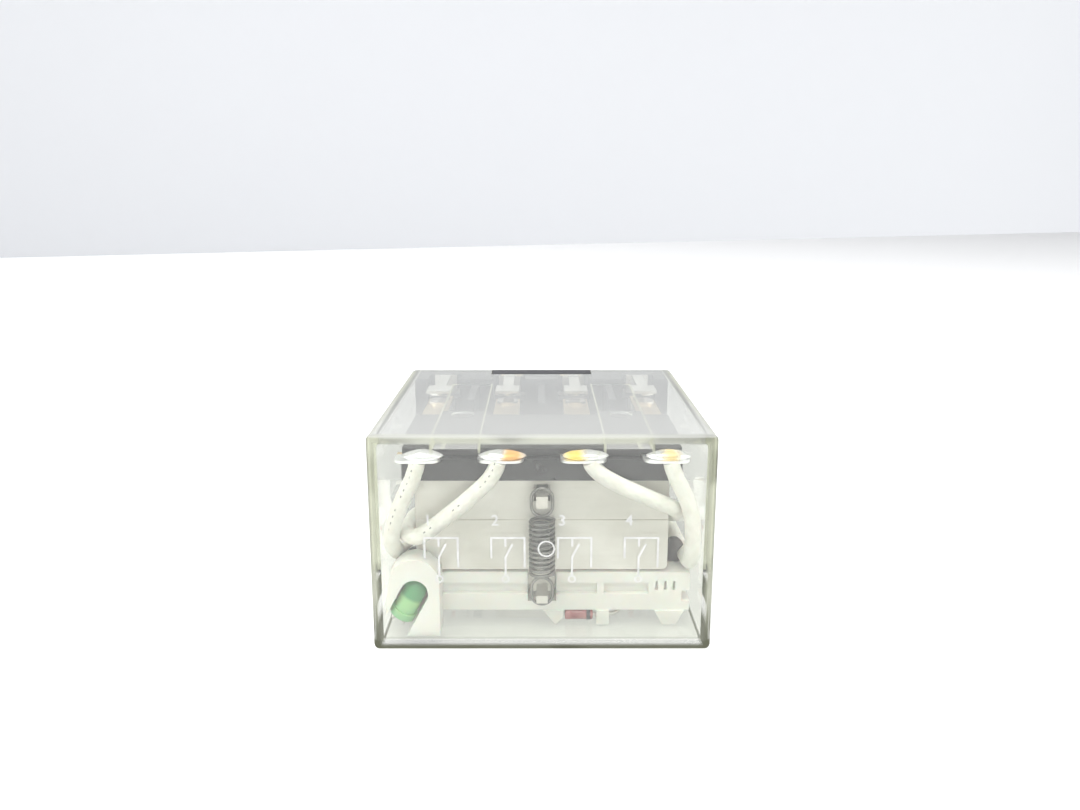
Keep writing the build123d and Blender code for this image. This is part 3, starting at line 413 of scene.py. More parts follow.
rim_mesh = bmesh.new()
for side in (-1, 1):
    front_loop, rear_loop = [[rim_mesh.verts.new(point) for point in loop] for loop in half_rim(side)]
    rim_mesh.faces.new(front_loop)
    rim_mesh.faces.new(rear_loop)
    joined_loops(rim_mesh, front_loop, rear_loop)
# Pale ground plastic, with a painted glow for the light that runs along the side walls.
ground_plastic = start_material("ground_polycarbonate", (0.80, 0.82, 0.66), 0.7,
                                Emission_Color=(*EDGE_PALE, 1), Emission_Strength=PAINTED_RIM_GLOW)
tint(ground_plastic, (0.70, 0.72, 0.55), (0.86, 0.88, 0.74), noise(ground_plastic, 260.0, 3.0))
ground_rim = finished_piece("ground_rim", rim_mesh, ground_plastic)
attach(ground_rim, "cover")
print("ground rim at Y", round(cover_high.y / MM, 2), "mm")

# %% [markdown]
# ## Black mouldings
# The base and the block on the armature are glass-filled phenolic. It is never quite black: fibres at
# the surface make pale specks, and the skin is satin rather than dull.

# %% Black phenolic
def black_phenolic(name, deep, worn, rough):
    material = start_material(name, deep, rough)
    specks = noise(material, 2600.0, 6.0)
    tint(material, deep, worn, specks, 0.52, 0.72)
    clouds = noise(material, 160.0, 3.0)
    roughen(material, clouds, rough - 0.1, rough + 0.12)
    bump(material, noise(material, 4200.0, 4.0), 0.25, 0.02 * MM)
    return material


base_black = black_phenolic("base_phenolic", (0.018, 0.018, 0.020), (0.055, 0.055, 0.056), 0.42)
block_black = black_phenolic("block_phenolic", (0.009, 0.009, 0.010), (0.030, 0.031, 0.033), 0.30)
dress(base_black, "base_moulding")
dress(block_black, "moving_block")

# %% [markdown]
# ## White mouldings
# The bobbin and the front moulding are cream nylon. Light sinks a little way into it, so its edges glow
# softly; a small subsurface weight gives that, and slow clouds of colour keep it from looking painted.

# %% Cream nylon
def cream_nylon(name, light, shade):
    material = start_material(name, light, 0.42, Subsurface_Weight=0.25, Subsurface_Scale=1.5 * MM)
    clouds = noise(material, 90.0, 3.0)
    tint(material, shade, light, clouds, 0.30, 0.62)
    roughen(material, noise(material, 300.0, 2.0), 0.34, 0.5)
    bump(material, noise(material, 1500.0, 3.0), 0.12, 0.03 * MM)
    return material


# The front moulding's copy is a little darker than the bobbin's: painted shade on the lower front of the
# relay.
front_white = cream_nylon("front_nylon", (0.82, 0.815, 0.77), (0.74, 0.735, 0.68))
bobbin_white = cream_nylon("bobbin_nylon", (0.86, 0.85, 0.81), (0.78, 0.77, 0.72))
dress(front_white, "front_moulding")
dress(bobbin_white, "bobbin")

# %% [markdown]
# ## Plated iron and tinned brass
# Armature and yoke are stamped from soft iron and nickel plated without polishing, so the rolling marks
# stay as fine streaks and the shine is dull and warm. The blades are tinned brass: brighter, with a
# cloudy skin and scratches along their length, where they slide into the socket.

# %% Sheet metals
X_AXIS, Y_AXIS, Z_AXIS = 0, 1, 2
STREAK_STRETCH = 0.06


def sheet_metal(name, light, shade, rough, streak, along):
    """Plated sheet: slow clouds of colour, and streaks drawn out along one axis."""
    material = start_material(name, light, rough, 1.0)
    clouds = noise(material, 140.0, 4.0)
    tint(material, shade, light, clouds, 0.32, 0.66)
    stretch = [1.0, 1.0, 1.0]
    stretch[along] = STREAK_STRETCH
    streaks = noise(material, 2600.0, 3.0, tuple(stretch))
    roughen(material, streaks, rough - 0.1, rough + 0.14)
    bump(material, streaks, streak, 0.02 * MM)
    return material


armature_plate = sheet_metal("armature_nickel", (0.80, 0.785, 0.745), (0.68, 0.665, 0.615), 0.55, 0.3, X_AXIS)
yoke_plate = sheet_metal("yoke_nickel", (0.66, 0.64, 0.60), (0.52, 0.50, 0.46), 0.40, 0.3, Y_AXIS)
core_iron = sheet_metal("core_iron", (0.60, 0.58, 0.55), (0.45, 0.43, 0.40), 0.34, 0.4, X_AXIS)
tinned_brass = sheet_metal("tinned_brass", (0.80, 0.79, 0.76), (0.66, 0.64, 0.60), 0.30, 0.35, Y_AXIS)
leaf_bronze = sheet_metal("leaf_bronze", (0.80, 0.66, 0.42), (0.66, 0.50, 0.28), 0.30, 0.3, Y_AXIS)
silver_alloy = sheet_metal("silver_alloy", (0.90, 0.88, 0.85), (0.74, 0.66, 0.60), 0.22, 0.2, X_AXIS)
tinned_wire = sheet_metal("tinned_wire", (0.78, 0.77, 0.74), (0.60, 0.59, 0.56), 0.32, 0.2, Y_AXIS)
dress(armature_plate, "armature")
dress(yoke_plate, "yoke")
dress(core_iron, "core")
dress(tinned_brass, *[n for n in nodes if "terminal" in n])
dress(silver_alloy, "no_contacts", "nc_contacts", "moving_contacts")
dress(tinned_wire, "led_legs", "diode_leads", "resistor_leads")

# %% [markdown]
# The leaves are phosphor bronze. Solder has run back a little way over the front end of each, so the
# colour turns from bronze to tin there.

# %% Leaves with a tinned front
TIN = (0.84, 0.84, 0.85)
TIN_ENDS = leaf_front + 3 * MM
TIN_FULL = leaf_front + 2.4 * MM


def mixed_over(material, below, above, share):
    """Colour above over colour below by a share of nought to one; both may be sockets. Returns a socket."""
    mix = add(material, "ShaderNodeMix")
    mix.data_type = "RGBA"
    for socket, value in ((mix.inputs[0], share), (mix.inputs[6], below), (mix.inputs[7], above)):
        if isinstance(value, bpy.types.NodeSocket):
            material.node_tree.links.new(value, socket)
        else:
            socket.default_value = (*value, 1)
    return mix.outputs[2]


bronze_colour = shader_of(leaf_bronze).inputs["Base Color"]
tinned_share = fade(leaf_bronze, axes_of(leaf_bronze)[1], TIN_ENDS, TIN_FULL)
tinned = mixed_over(leaf_bronze, bronze_colour.links[0].from_socket, TIN, tinned_share)
leaf_bronze.node_tree.links.new(tinned, bronze_colour)
dress(leaf_bronze, *[n for n in nodes if n.startswith("moving_leaf")])

# %% [markdown]
# ## Spring steel, copper and tape
# The return spring is drawn steel wire, dark and a little oily. The coil is enamelled copper under a
# wrap of clear yellow film.

# %% Spring, copper and tape
spring_steel = sheet_metal("spring_steel", (0.27, 0.265, 0.25), (0.15, 0.15, 0.145), 0.34, 0.2, Z_AXIS)
dress(spring_steel, "return_spring")
enamel_copper = start_material("enamelled_copper", (0.62, 0.22, 0.09), 0.24, 0.85, Coat_Weight=0.6,
                               Coat_Roughness=0.08)
tint(enamel_copper, (0.50, 0.15, 0.05), (0.74, 0.30, 0.13), noise(enamel_copper, 500.0, 2.0))
coil_film = start_material("polyester_film", (0.86, 0.78, 0.42), 0.18, Coat_Weight=0.4)
tint(coil_film, (0.78, 0.68, 0.34), (0.88, 0.82, 0.52), noise(coil_film, 220.0, 3.0))
bump(coil_film, noise(coil_film, 700.0, 2.0), 0.2, 0.05 * MM)
dress(coil_film, "coil_tape")

# %% [markdown]
# ## Solder
# The beads on the leaves are bright tin-lead. Amber flux has pooled on part of three of them. The pools
# are given by where they start and stop along X, and a slow pattern makes their borders wander. Flux is
# no metal, so the same ramp also steers how metallic the surface is.

# %% Solder with pools of flux
POOL_SPAN = 20 * MM
POOLS = ((-4.6, -2.2, (0.82, 0.42, 0.10)), (2.7, 4.9, (0.90, 0.64, 0.10)), (14.5, 16.2, (0.80, 0.62, 0.28)))


def solder_finish(name, bright):
    """Bright solder, amber where flux has pooled."""
    material = start_material(name, bright, 0.2, 1.0)
    wander = calc(material, "MULTIPLY_ADD", noise(material, 700.0, 3.0).outputs[0], 1.6 * MM, -0.8 * MM)
    along = add(material, "ShaderNodeMapRange", From_Min=-POOL_SPAN, From_Max=POOL_SPAN)
    material.node_tree.links.new(calc(material, "ADD", axes_of(material)[0], wander), along.inputs["Value"])
    ramp = add(material, "ShaderNodeValToRGB")
    stops = ramp.color_ramp.elements
    stops[0].color = stops[1].color = (*bright, 1)
    for start, stop, flux in POOLS:
        for place, colour in ((start - 0.6, bright), (start + 0.5, flux),
                              (stop - 0.5, flux), (stop + 0.6, bright)):
            stops.new((place * MM + POOL_SPAN) / (2 * POOL_SPAN)).color = (*colour, 1)
    join(material, along, "Result", ramp, "Fac")
    join(material, ramp, "Color", shader_of(material), "Base Color")
    channels = add(material, "ShaderNodeSeparateColor")
    join(material, ramp, "Color", channels, "Color")
    bare = fade(material, channels.outputs["Blue"], 0.3, 0.8, 0.45, 1.0)
    material.node_tree.links.new(bare, shader_of(material).inputs["Metallic"])
    roughen(material, noise(material, 900.0, 3.0), 0.12, 0.34)
    bump(material, noise(material, 1100.0, 3.0), 0.3, 0.06 * MM)
    return material


solder = solder_finish("solder", (0.88, 0.88, 0.89))

# %% [markdown]
# ## Growing shapes with Geometry Nodes
# What repeats or follows a path is grown by a node tree. The first helper makes a tree with named inputs,
# and the second adds a node and feeds its sockets. Two small ones do a sum, and close a tree with the two
# nodes that each has to end in: one makes its instances real, and one gives the material.

# %% Building a tree of nodes
def new_tree(name, **inputs):
    tree = bpy.data.node_groups.new(name, "GeometryNodeTree")
    tree.interface.new_socket("Geometry", in_out="INPUT", socket_type="NodeSocketGeometry")
    for label, kind in inputs.items():
        tree.interface.new_socket(label, in_out="INPUT", socket_type="NodeSocket" + kind)
    tree.interface.new_socket("Geometry", in_out="OUTPUT", socket_type="NodeSocketGeometry")
    return tree, tree.nodes.new("NodeGroupInput").outputs


def step(tree, kind, settings=(), **feeds):
    """Add a node and feed its sockets, by name or as n0, n1; returns its outputs."""
    node = tree.nodes.new(kind)
    for name, value in dict(settings).items():
        setattr(node, name, value)
    for name, feed in feeds.items():
        numbered = name[0] == "n" and name[1:].isdigit()
        socket = node.inputs[int(name[1:]) if numbered else name.replace("_", " ")]
        if isinstance(feed, bpy.types.NodeSocket):
            tree.links.new(feed, socket)
        else:
            socket.default_value = feed
    return node.outputs


def maths(tree, operation, first, second=0.0):
    return step(tree, "ShaderNodeMath", {"operation": operation}, n0=first, n1=second)[0]


def end_tree(tree, geometry, material):
    solid = step(tree, "GeometryNodeRealizeInstances", Geometry=geometry)["Geometry"]
    coated = step(tree, "GeometryNodeSetMaterial", Geometry=solid, Material=material)["Geometry"]
    step(tree, "NodeGroupOutput", Geometry=coated)


# %% [markdown]
# A tree does nothing until a modifier runs it. This helper sets the inputs by their identifiers, evaluates
# the tree once and keeps the result as a plain mesh, so that no modifier is left on the piece.

# %% Running a tree
def grow(tree, name, seed=None, **values):
    """Run a tree on a curve, or on nothing, and return the plain mesh object that it grows."""
    host = bpy.data.objects.new("seed", seed or bpy.data.meshes.new("seed"))
    bpy.context.scene.collection.objects.link(host)
    modifier = host.modifiers.new("grow", "NODES")
    modifier.node_group = tree
    for item in tree.interface.items_tree:
        if item.in_out == "INPUT" and item.name in values:
            modifier[item.identifier] = values[item.name]
    ready = host.evaluated_get(bpy.context.evaluated_depsgraph_get())
    mesh = bpy.data.meshes.new_from_object(ready)
    mesh.name = name
    bpy.data.objects.remove(host)
    piece = bpy.data.objects.new(name, mesh)
    bpy.context.scene.collection.objects.link(piece)
    print(name, len(mesh.polygons), "faces")
    return piece


# %% [markdown]
# ## The coil
# The solid model has the coil as a plain ring. Here it is wound: a spiral curve gives the turns, a small
# circle is drawn along it for the wire, and a smooth core under the turns closes the gaps. Only the two
# ends show beside the tape, but they are what the eye looks for in a coil.

# %% Coil winding
WIRE_RADIUS = 0.13 * MM
TURN_PITCH = 2.1 * WIRE_RADIUS
TURN_POINTS, WIRE_CORNERS, CORE_SIDES = 44, 6, 72
coil_low, coil_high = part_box("winding")
coil_middle = (coil_low + coil_high) / 2
coil_length = coil_high.y - coil_low.y
coil_radius = (coil_high.z - coil_low.z) / 2

tree, given = new_tree("wound_coil", Radius="Float", Length="Float", Wire="Float", Turns="Float",
                       Place="Vector")
turn_radius = maths(tree, "SUBTRACT", given["Radius"], given["Wire"])
run = maths(tree, "SUBTRACT", given["Length"], maths(tree, "MULTIPLY", given["Wire"], 2.0))
spiral = step(tree, "GeometryNodeCurveSpiral", Resolution=TURN_POINTS, Rotations=given["Turns"],
              Start_Radius=turn_radius, End_Radius=turn_radius, Height=run)["Curve"]
down = step(tree, "ShaderNodeCombineXYZ", Z=maths(tree, "MULTIPLY", run, -0.5))[0]
spiral = step(tree, "GeometryNodeTransform", Geometry=spiral, Translation=down)["Geometry"]
section = step(tree, "GeometryNodeCurvePrimitiveCircle", Resolution=WIRE_CORNERS,
               Radius=given["Wire"])["Curve"]
turns = step(tree, "GeometryNodeCurveToMesh", Curve=spiral, Profile_Curve=section, Fill_Caps=True)["Mesh"]
core_body = step(tree, "GeometryNodeMeshCylinder", Vertices=CORE_SIDES, Radius=turn_radius,
                 Depth=run)["Mesh"]
both = step(tree, "GeometryNodeJoinGeometry")["Geometry"]
for part in (core_body, turns):
    tree.links.new(part, both.node.inputs["Geometry"])
lying = step(tree, "GeometryNodeTransform", Geometry=both, Translation=given["Place"],
             Rotation=(pi / 2, 0, 0))["Geometry"]
smooth = step(tree, "GeometryNodeSetShadeSmooth", Geometry=lying)["Geometry"]
end_tree(tree, smooth, enamel_copper)
winding = grow(tree, "coil_turns", Radius=coil_radius, Length=coil_length, Wire=WIRE_RADIUS,
               Turns=coil_length / TURN_PITCH, Place=coil_middle)
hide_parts("winding")
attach(winding, "base")

# %% [markdown]
# ## The flexible leads
# Each moving contact is fed by a limp lead in a woven sleeve. Its route is a short list of points, the
# control points of one smooth spline, so it bends as a real wire does: from under its leaf across the
# front, back between the parts and the side wall, and in to the solder on its lug.

# %% Lead routes
FRONT_Y, UNDER_LEAF, SIDE_X, ON_LUG = -33.5, leaf_bottom / MM, 18.5, -1.75
BESIDE_LUG, LUG_Z = 12.25, -3.0
lead_routes = {
    "lead_1": [(-15, FRONT_Y, UNDER_LEAF), (-15.3, FRONT_Y, 8.4), (-16.8, FRONT_Y, 5.4), (-17.9, -33.4, 2.6),
               (-SIDE_X, -33.2, 0.5), (-SIDE_X, -32.7, -1.3), (-SIDE_X, -31.1, -2.1), (-SIDE_X, -29.2, -3.8),
               (-18.4, -26.5, -4.6), (-18.2, -23.5, -4.7), (-17.6, -18.5, -3.4), (-15.6, -14.4, ON_LUG),
               (-15, -9.6, ON_LUG)],
    "lead_2": [(-5.3, FRONT_Y, UNDER_LEAF), (-5.7, FRONT_Y, 8.3), (-8.3, FRONT_Y, 5.7), (-12.0, FRONT_Y, 2.6),
               (-14.9, -33.5, 0.3), (-16.35, -32.9, 0.1), (-17.05, -31.2, 0.0), (-17.1, -28.0, -0.6),
               (-17.3, -22.5, -1.3), (-15.0, -18.6, -2.3), (-BESIDE_LUG - 0.3, -14.2, -3.4),
               (-BESIDE_LUG, -9.6, LUG_Z)],
    "lead_3": [(5.8, FRONT_Y, UNDER_LEAF), (6.3, FRONT_Y, 8.8), (8.8, FRONT_Y, 7.2), (12.4, FRONT_Y, 5.6),
               (15.1, -33.1, 4.3), (16.45, -32.2, 3.4), (17.1, -30.6, 2.3), (17.1, -28.0, 1.0),
               (17.3, -22.0, -1.5), (15.0, -18.6, -2.3), (BESIDE_LUG + 0.3, -14.2, -3.4),
               (BESIDE_LUG, -9.6, LUG_Z)],
    "lead_4": [(15.5, FRONT_Y, UNDER_LEAF), (15.8, FRONT_Y, 8.6), (17.2, FRONT_Y, 6.0), (18.3, FRONT_Y, 3.1),
               (SIDE_X, -33.4, 0.1), (SIDE_X, -33.0, -2.4), (SIDE_X, -31.7, -3.9), (SIDE_X, -29.2, -4.25),
               (18.4, -26.5, -4.4), (18.2, -23.5, -4.6), (17.6, -18.5, -3.4), (15.6, -14.4, ON_LUG),
               (15, -9.6, ON_LUG)],
}
STEPS_PER_POINT = 24


def spline_of(points):
    """A smooth curve with these millimetre points as its control points."""
    data = bpy.data.curves.new("route", "CURVE")
    data.dimensions = "3D"
    data.resolution_u = STEPS_PER_POINT
    spline = data.splines.new("NURBS")
    spline.points.add(len(points) - 1)
    for control, place in zip(spline.points, points):
        control.co = (*(Vector(place) * MM), 1)
    spline.order_u = 3
    spline.use_endpoint_u = True
    return data


print("routes", {name: len(points) for name, points in lead_routes.items()})

# %% [markdown]
# The sleeve is grown along that spline. The weave is a pattern of two crossing helices in the way along
# and the way around, pushed out along the normals. Both ways are stored on the mesh as attributes,
# because the finish below needs them too.

# %% Woven sleeve tree
SLEEVE_STEP = 0.09 * MM
SLEEVE_SIDES = 40
tree, given = new_tree("woven_sleeve", Radius="Float", Weave="Float", Crossings="Float", Pitch="Float")
even = step(tree, "GeometryNodeResampleCurve", {"mode": "LENGTH"}, Curve=given["Geometry"],
            Length=SLEEVE_STEP)["Curve"]
way = step(tree, "GeometryNodeSplineParameter")
even = step(tree, "GeometryNodeStoreNamedAttribute", {"data_type": "FLOAT", "domain": "POINT"}, Geometry=even,
            Name="along", Value=way["Length"])["Geometry"]
round_section = step(tree, "GeometryNodeCurvePrimitiveCircle", Resolution=SLEEVE_SIDES,
                     Radius=given["Radius"])["Curve"]
round_section = step(tree, "GeometryNodeStoreNamedAttribute", {"data_type": "FLOAT", "domain": "POINT"},
                     Geometry=round_section, Name="around", Value=way["Factor"])["Geometry"]
sleeve = step(tree, "GeometryNodeCurveToMesh", Curve=even, Profile_Curve=round_section,
              Fill_Caps=True)["Mesh"]
along = step(tree, "GeometryNodeInputNamedAttribute", {"data_type": "FLOAT"}, Name="along")[0]
around = step(tree, "GeometryNodeInputNamedAttribute", {"data_type": "FLOAT"}, Name="around")[0]
turn = maths(tree, "MULTIPLY", maths(tree, "MULTIPLY", around, 2 * pi), given["Crossings"])
advance = maths(tree, "MULTIPLY", maths(tree, "DIVIDE", along, given["Pitch"]), 2 * pi)
left_hand = maths(tree, "SINE", maths(tree, "ADD", turn, advance))
right_hand = maths(tree, "SINE", maths(tree, "SUBTRACT", turn, advance))
height = maths(tree, "MULTIPLY", maths(tree, "MAXIMUM", left_hand, right_hand), given["Weave"])
normal = step(tree, "GeometryNodeInputNormal")[0]
push = step(tree, "ShaderNodeVectorMath", {"operation": "SCALE"}, Vector=normal, Scale=height)[0]
woven = step(tree, "GeometryNodeSetPosition", Geometry=sleeve, Offset=push)["Geometry"]
woven = step(tree, "GeometryNodeSetShadeSmooth", Geometry=woven)["Geometry"]

# %% [markdown]
# The yarn is cream, in slow soft patches. A dark tracer thread runs along one side of the sleeve and shows
# in every few crossings, worn away here and there: it is dark where three conditions hold at once.

# %% Sleeve finish
TRACER_HALF = 0.013
TRACER_SHOWN = 0.32


def attribute(material, name):
    reader = add(material, "ShaderNodeAttribute")
    reader.attribute_name = name
    return reader.outputs["Fac"]


def sleeve_finish(name, yarn, shade, tracer, tracer_angle, tracer_step):
    """Cream yarn with a tracer: the angle is a share of the turn, the step a length in metres."""
    material = start_material(name, yarn, 0.62, Sheen_Weight=0.15, Subsurface_Weight=0.1,
                              Subsurface_Scale=0.8 * MM)
    mottle = tint(material, shade, yarn, noise(material, 700.0, 4.0), 0.30, 0.60)
    beside = calc(material, "COMPARE", attribute(material, "around"), tracer_angle, TRACER_HALF)
    cycle = calc(material, "PINGPONG", attribute(material, "along"), tracer_step)
    shown = calc(material, "COMPARE", cycle, 0.0, tracer_step * TRACER_SHOWN)
    worn = add(material, "ShaderNodeMapRange", From_Min=0.50, From_Max=0.56, To_Max=0.85)
    join(material, noise(material, 420.0, 1.0), "Fac", worn, "Value")
    dash = calc(material, "MULTIPLY", calc(material, "MULTIPLY", worn.outputs["Result"], beside), shown)
    colour = mixed_over(material, mottle.outputs["Color"], tracer, dash)
    material.node_tree.links.new(colour, shader_of(material).inputs["Base Color"])
    bump(material, noise(material, 5200.0, 2.0), 0.3, 0.03 * MM)
    return material


glass_yarn = sleeve_finish("woven_sleeve", (0.86, 0.855, 0.80), (0.76, 0.75, 0.68), (0.16, 0.16, 0.14),
                           0.56, 0.45 * MM)
end_tree(tree, woven, glass_yarn)
print(tree.name, len(tree.nodes), "nodes")

# %% [markdown]
# Now all four are grown. The upper end of a lead moves with the armature and the lower end stays on its lug.

# %% Grow the leads
LEAD_RADIUS = 1.0 * MM
WEAVE_DEPTH = 0.028 * MM
WEAVE_PITCH = 1.5 * MM
for name, points in lead_routes.items():
    lead = grow(tree, name + "_sleeve", spline_of(points), Radius=LEAD_RADIUS - WEAVE_DEPTH,
                Weave=WEAVE_DEPTH, Crossings=7.0, Pitch=WEAVE_PITCH)
    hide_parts(name)
    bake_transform(lead)

# %% [markdown]
# ## Skins of rings
# Beads, drops and turned bodies are all rings about a line, with a smooth skin over them. These helpers
# give the angles round a ring, even places along the line, and the skin itself.

# %% Rings and skins
def circle(sides):
    """The angles of a ring of points."""
    return [2 * pi * k / sides for k in range(sides)]


def shares(rings, tip):
    """Even places from one tip of a piece to the other, as shares of half its length."""
    return [tip * (2 * i / rings - 1) for i in range(rings + 1)]


def skin(name, rings, material):
    """A closed smooth mesh from rings of points, each joined to the next, with one face at each end."""
    mesh = bmesh.new()
    loops = [[mesh.verts.new(point) for point in ring] for ring in rings]
    for before, after in zip(loops, loops[1:]):
        joined_loops(mesh, before, after)
    mesh.faces.new(loops[0][::-1])
    mesh.faces.new(loops[-1])
    piece = finished_piece(name, mesh, material)
    piece.data.shade_smooth()
    return piece


# %% [markdown]
# ## Beads of solder
# Each lead is soldered at the wide front end of its leaf. Molten solder pulls itself into a bead that is
# pointed at both ends and rounded between them, and it wets both sides of the leaf. Each bead is a closed
# skin of rings along X, a little taller below the leaf than above it; slow waves, different for each, keep
# the four from looking stamped.

# %% Solder beads
BEADS = ((-14.45, 5.2), (-4.8, 6.0), (5.25, 5.8), (15.25, 5.6))
BEAD_RINGS, BEAD_SIDES = 40, 28
BEAD_UP, BEAD_DOWN, BEAD_REACH = 0.70 * MM, 0.75 * MM, 1.30 * MM
BEAD_Y, BEAD_Z = leaf_front + 1.25 * MM, leaf_bottom + 0.60 * MM
BEAD_TIP = 0.995


def bead_ring(x, share, number):
    """One ring of a bead, drawn in towards its tips."""
    swell = (1 - share ** 2) ** 0.75
    wave = 1 + 0.06 * sin(3.1 * share + 1.7 * number) + 0.03 * sin(9 * share + 2.3 * number)
    points = []
    for angle in circle(BEAD_SIDES):
        lift = (BEAD_UP if sin(angle) > 0 else BEAD_DOWN) * swell * wave
        depth = BEAD_REACH * swell * (1 + 0.06 * sin(2 * angle + number))
        points.append((x, BEAD_Y + depth * cos(angle), BEAD_Z + lift * sin(angle)))
    return points


for number, (centre, length) in enumerate(BEADS, start=1):
    rings = [bead_ring((centre + share * length / 2) * MM, share, number)
             for share in shares(BEAD_RINGS, BEAD_TIP)]
    bead = skin(f"solder_bead_{number}", rings, solder)
    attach(bead, "armature")
    if number == 1:
        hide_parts("solder_joints")
print("four beads of solder on the leaves")

# %% [markdown]
# ## Round wires and their joints
# The coil is fed by two thin insulated wires, and the lamp by a twisted pair that comes forward past the
# armature and dips behind the hood. All are the same idea, a circle drawn along a smooth route, so one
# tree serves them, with the finish as one more input.

# %% Round wires
WIRE_STEP = 0.2 * MM
WIRE_SIDES = 16
tree, given = new_tree("round_wire", Radius="Float", Finish="Material")
even = step(tree, "GeometryNodeResampleCurve", {"mode": "LENGTH"}, Curve=given["Geometry"],
            Length=WIRE_STEP)["Curve"]
section = step(tree, "GeometryNodeCurvePrimitiveCircle", Resolution=WIRE_SIDES,
               Radius=given["Radius"])["Curve"]
wire_mesh = step(tree, "GeometryNodeCurveToMesh", Curve=even, Profile_Curve=section, Fill_Caps=True)["Mesh"]
wire_mesh = step(tree, "GeometryNodeSetShadeSmooth", Geometry=wire_mesh)["Geometry"]
end_tree(tree, wire_mesh, given["Finish"])


def insulation(name, colour, dark, light, roughness, coat, patches):
    """Soft plastic on a wire, a little uneven in colour and surface."""
    material = start_material(name, colour, roughness, Coat_Weight=coat)
    tint(material, dark, light, noise(material, patches, 2.0))
    bump(material, noise(material, 2500.0, 2.0), 0.15, 0.02 * MM)
    return material


lead_pvc = insulation("lead_insulation", (0.60, 0.10, 0.06), (0.50, 0.07, 0.04), (0.66, 0.13, 0.08),
                      0.38, 0.2, 400.0)
lamp_pvc = insulation("lamp_wire_insulation", (0.09, 0.09, 0.085), (0.05, 0.05, 0.05), (0.13, 0.13, 0.12),
                      0.42, 0.0, 900.0)

COIL_WIRE_RADIUS = 0.4 * MM
COIL_BLADE_X, COIL_LUG_Z = 15, -8.75
COIL_WIRE_IN_X, COIL_WIRE_IN_Z = 12.5, -8.0
for number, side in ((1, -1), (2, 1)):
    coil_wire_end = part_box(f"coil_lead_{number}")[0].y / MM
    route = [(side * COIL_BLADE_X, -6.9, COIL_LUG_Z), (side * COIL_BLADE_X, -10.8, COIL_LUG_Z),
             (side * COIL_WIRE_IN_X, -16.4, COIL_WIRE_IN_Z),
             (side * COIL_WIRE_IN_X, coil_wire_end, COIL_WIRE_IN_Z)]
    coil_wire = grow(tree, f"coil_lead_wire_{number}", spline_of(route), Radius=COIL_WIRE_RADIUS,
                     Finish=lead_pvc)
    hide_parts(f"coil_lead_{number}")
    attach(coil_wire, "base")

# %% [markdown]
# The pair is worked out first: the middle line is read off its spline as points, and each wire winds
# round that line, half a turn apart, with one turn for each lay.

# %% Twisted pair to the lamp
PAIR_ROUTE = [(-18.4, -30.9, -5.6), (-18.0, -30.8, -4.5), (-16.9, -30.8, -3.6), (-16.65, -29.0, -3.4),
              (-16.8, -24.0, -5.8), (-17.2, -17.5, -8.2), (-16.0, -12.5, -9.0), (-15.6, -9.0, -8.9)]
PAIR_RADIUS = 0.26 * MM
PAIR_LAY = 2.4 * MM
LAMP_WIRE_RADIUS = 0.22 * MM


def centre_line(points):
    """Points read from the smooth spline, close enough together to wind something round it."""
    host = bpy.data.objects.new("line", spline_of(points))
    bpy.context.scene.collection.objects.link(host)
    mesh = bpy.data.meshes.new_from_object(host.evaluated_get(bpy.context.evaluated_depsgraph_get()))
    places = [v.co.copy() for v in mesh.vertices]
    bpy.data.objects.remove(host)
    bpy.data.meshes.remove(mesh)
    return places


def wound_round(places, radius, lay, start_angle):
    """A strand that winds round a line of points, one turn for each lay."""
    travelled, strand = 0.0, []
    side = Vector((0, 0, 1))
    for before, after in zip(places, places[1:] + places[-1:]):
        ahead = (after - before).normalized() if (after - before).length else ahead
        side = (side - ahead * side.dot(ahead)).normalized()
        angle = start_angle + 2 * pi * travelled / lay
        strand.append(before + (side * cos(angle) + ahead.cross(side) * sin(angle)) * radius)
        travelled += (after - before).length
    return strand


pair_line = centre_line(PAIR_ROUTE)
for number in (1, 2):
    strand = wound_round(pair_line, PAIR_RADIUS, PAIR_LAY, pi * number)
    controls = [place / MM for place in strand[::4] + strand[-1:]]
    lamp_wire = grow(tree, f"lamp_wire_{number}", spline_of(controls), Radius=LAMP_WIRE_RADIUS,
                     Finish=lamp_pvc)
    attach(lamp_wire, "base")

# %% [markdown]
# Where a lead or a wire ends on a lug, a drop of solder holds it: a longer one for a sleeved lead, and a
# small one for a wire of the coil.

# %% Solder on the lugs
DROP_RINGS, DROP_SIDES = 22, 20
DROP_TIP = 0.99
LEAD_DROPS = ((-15, ON_LUG - 0.15), (-BESIDE_LUG + 0.15, LUG_Z), (BESIDE_LUG - 0.15, LUG_Z),
              (15, ON_LUG - 0.15))
LEAD_DROP_Y, LEAD_DROP_HALF, LEAD_DROP_RADIUS = -10.4, 1.9 * MM, 1.22 * MM
COIL_DROP_Y, COIL_DROP_Z, COIL_DROP_HALF, COIL_DROP_RADIUS = -8.2, -8.85, 1.2 * MM, 0.62 * MM


def drop(number, centre, half_length, radius):
    """A drop of solder along Y, full in the middle and drawn to a point at each end."""
    rings = []
    for share in shares(DROP_RINGS, DROP_TIP):
        swell = radius * (1 - share ** 2) ** 0.6 * (1 + 0.08 * sin(4 * share + number))
        rings.append([(centre.x + swell * cos(a) * (1 + 0.05 * sin(3 * a + number)),
                       centre.y + share * half_length, centre.z + swell * sin(a))
                      for a in circle(DROP_SIDES)])
    piece = skin(f"lug_solder_{number}", rings, solder)
    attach(piece, "base")


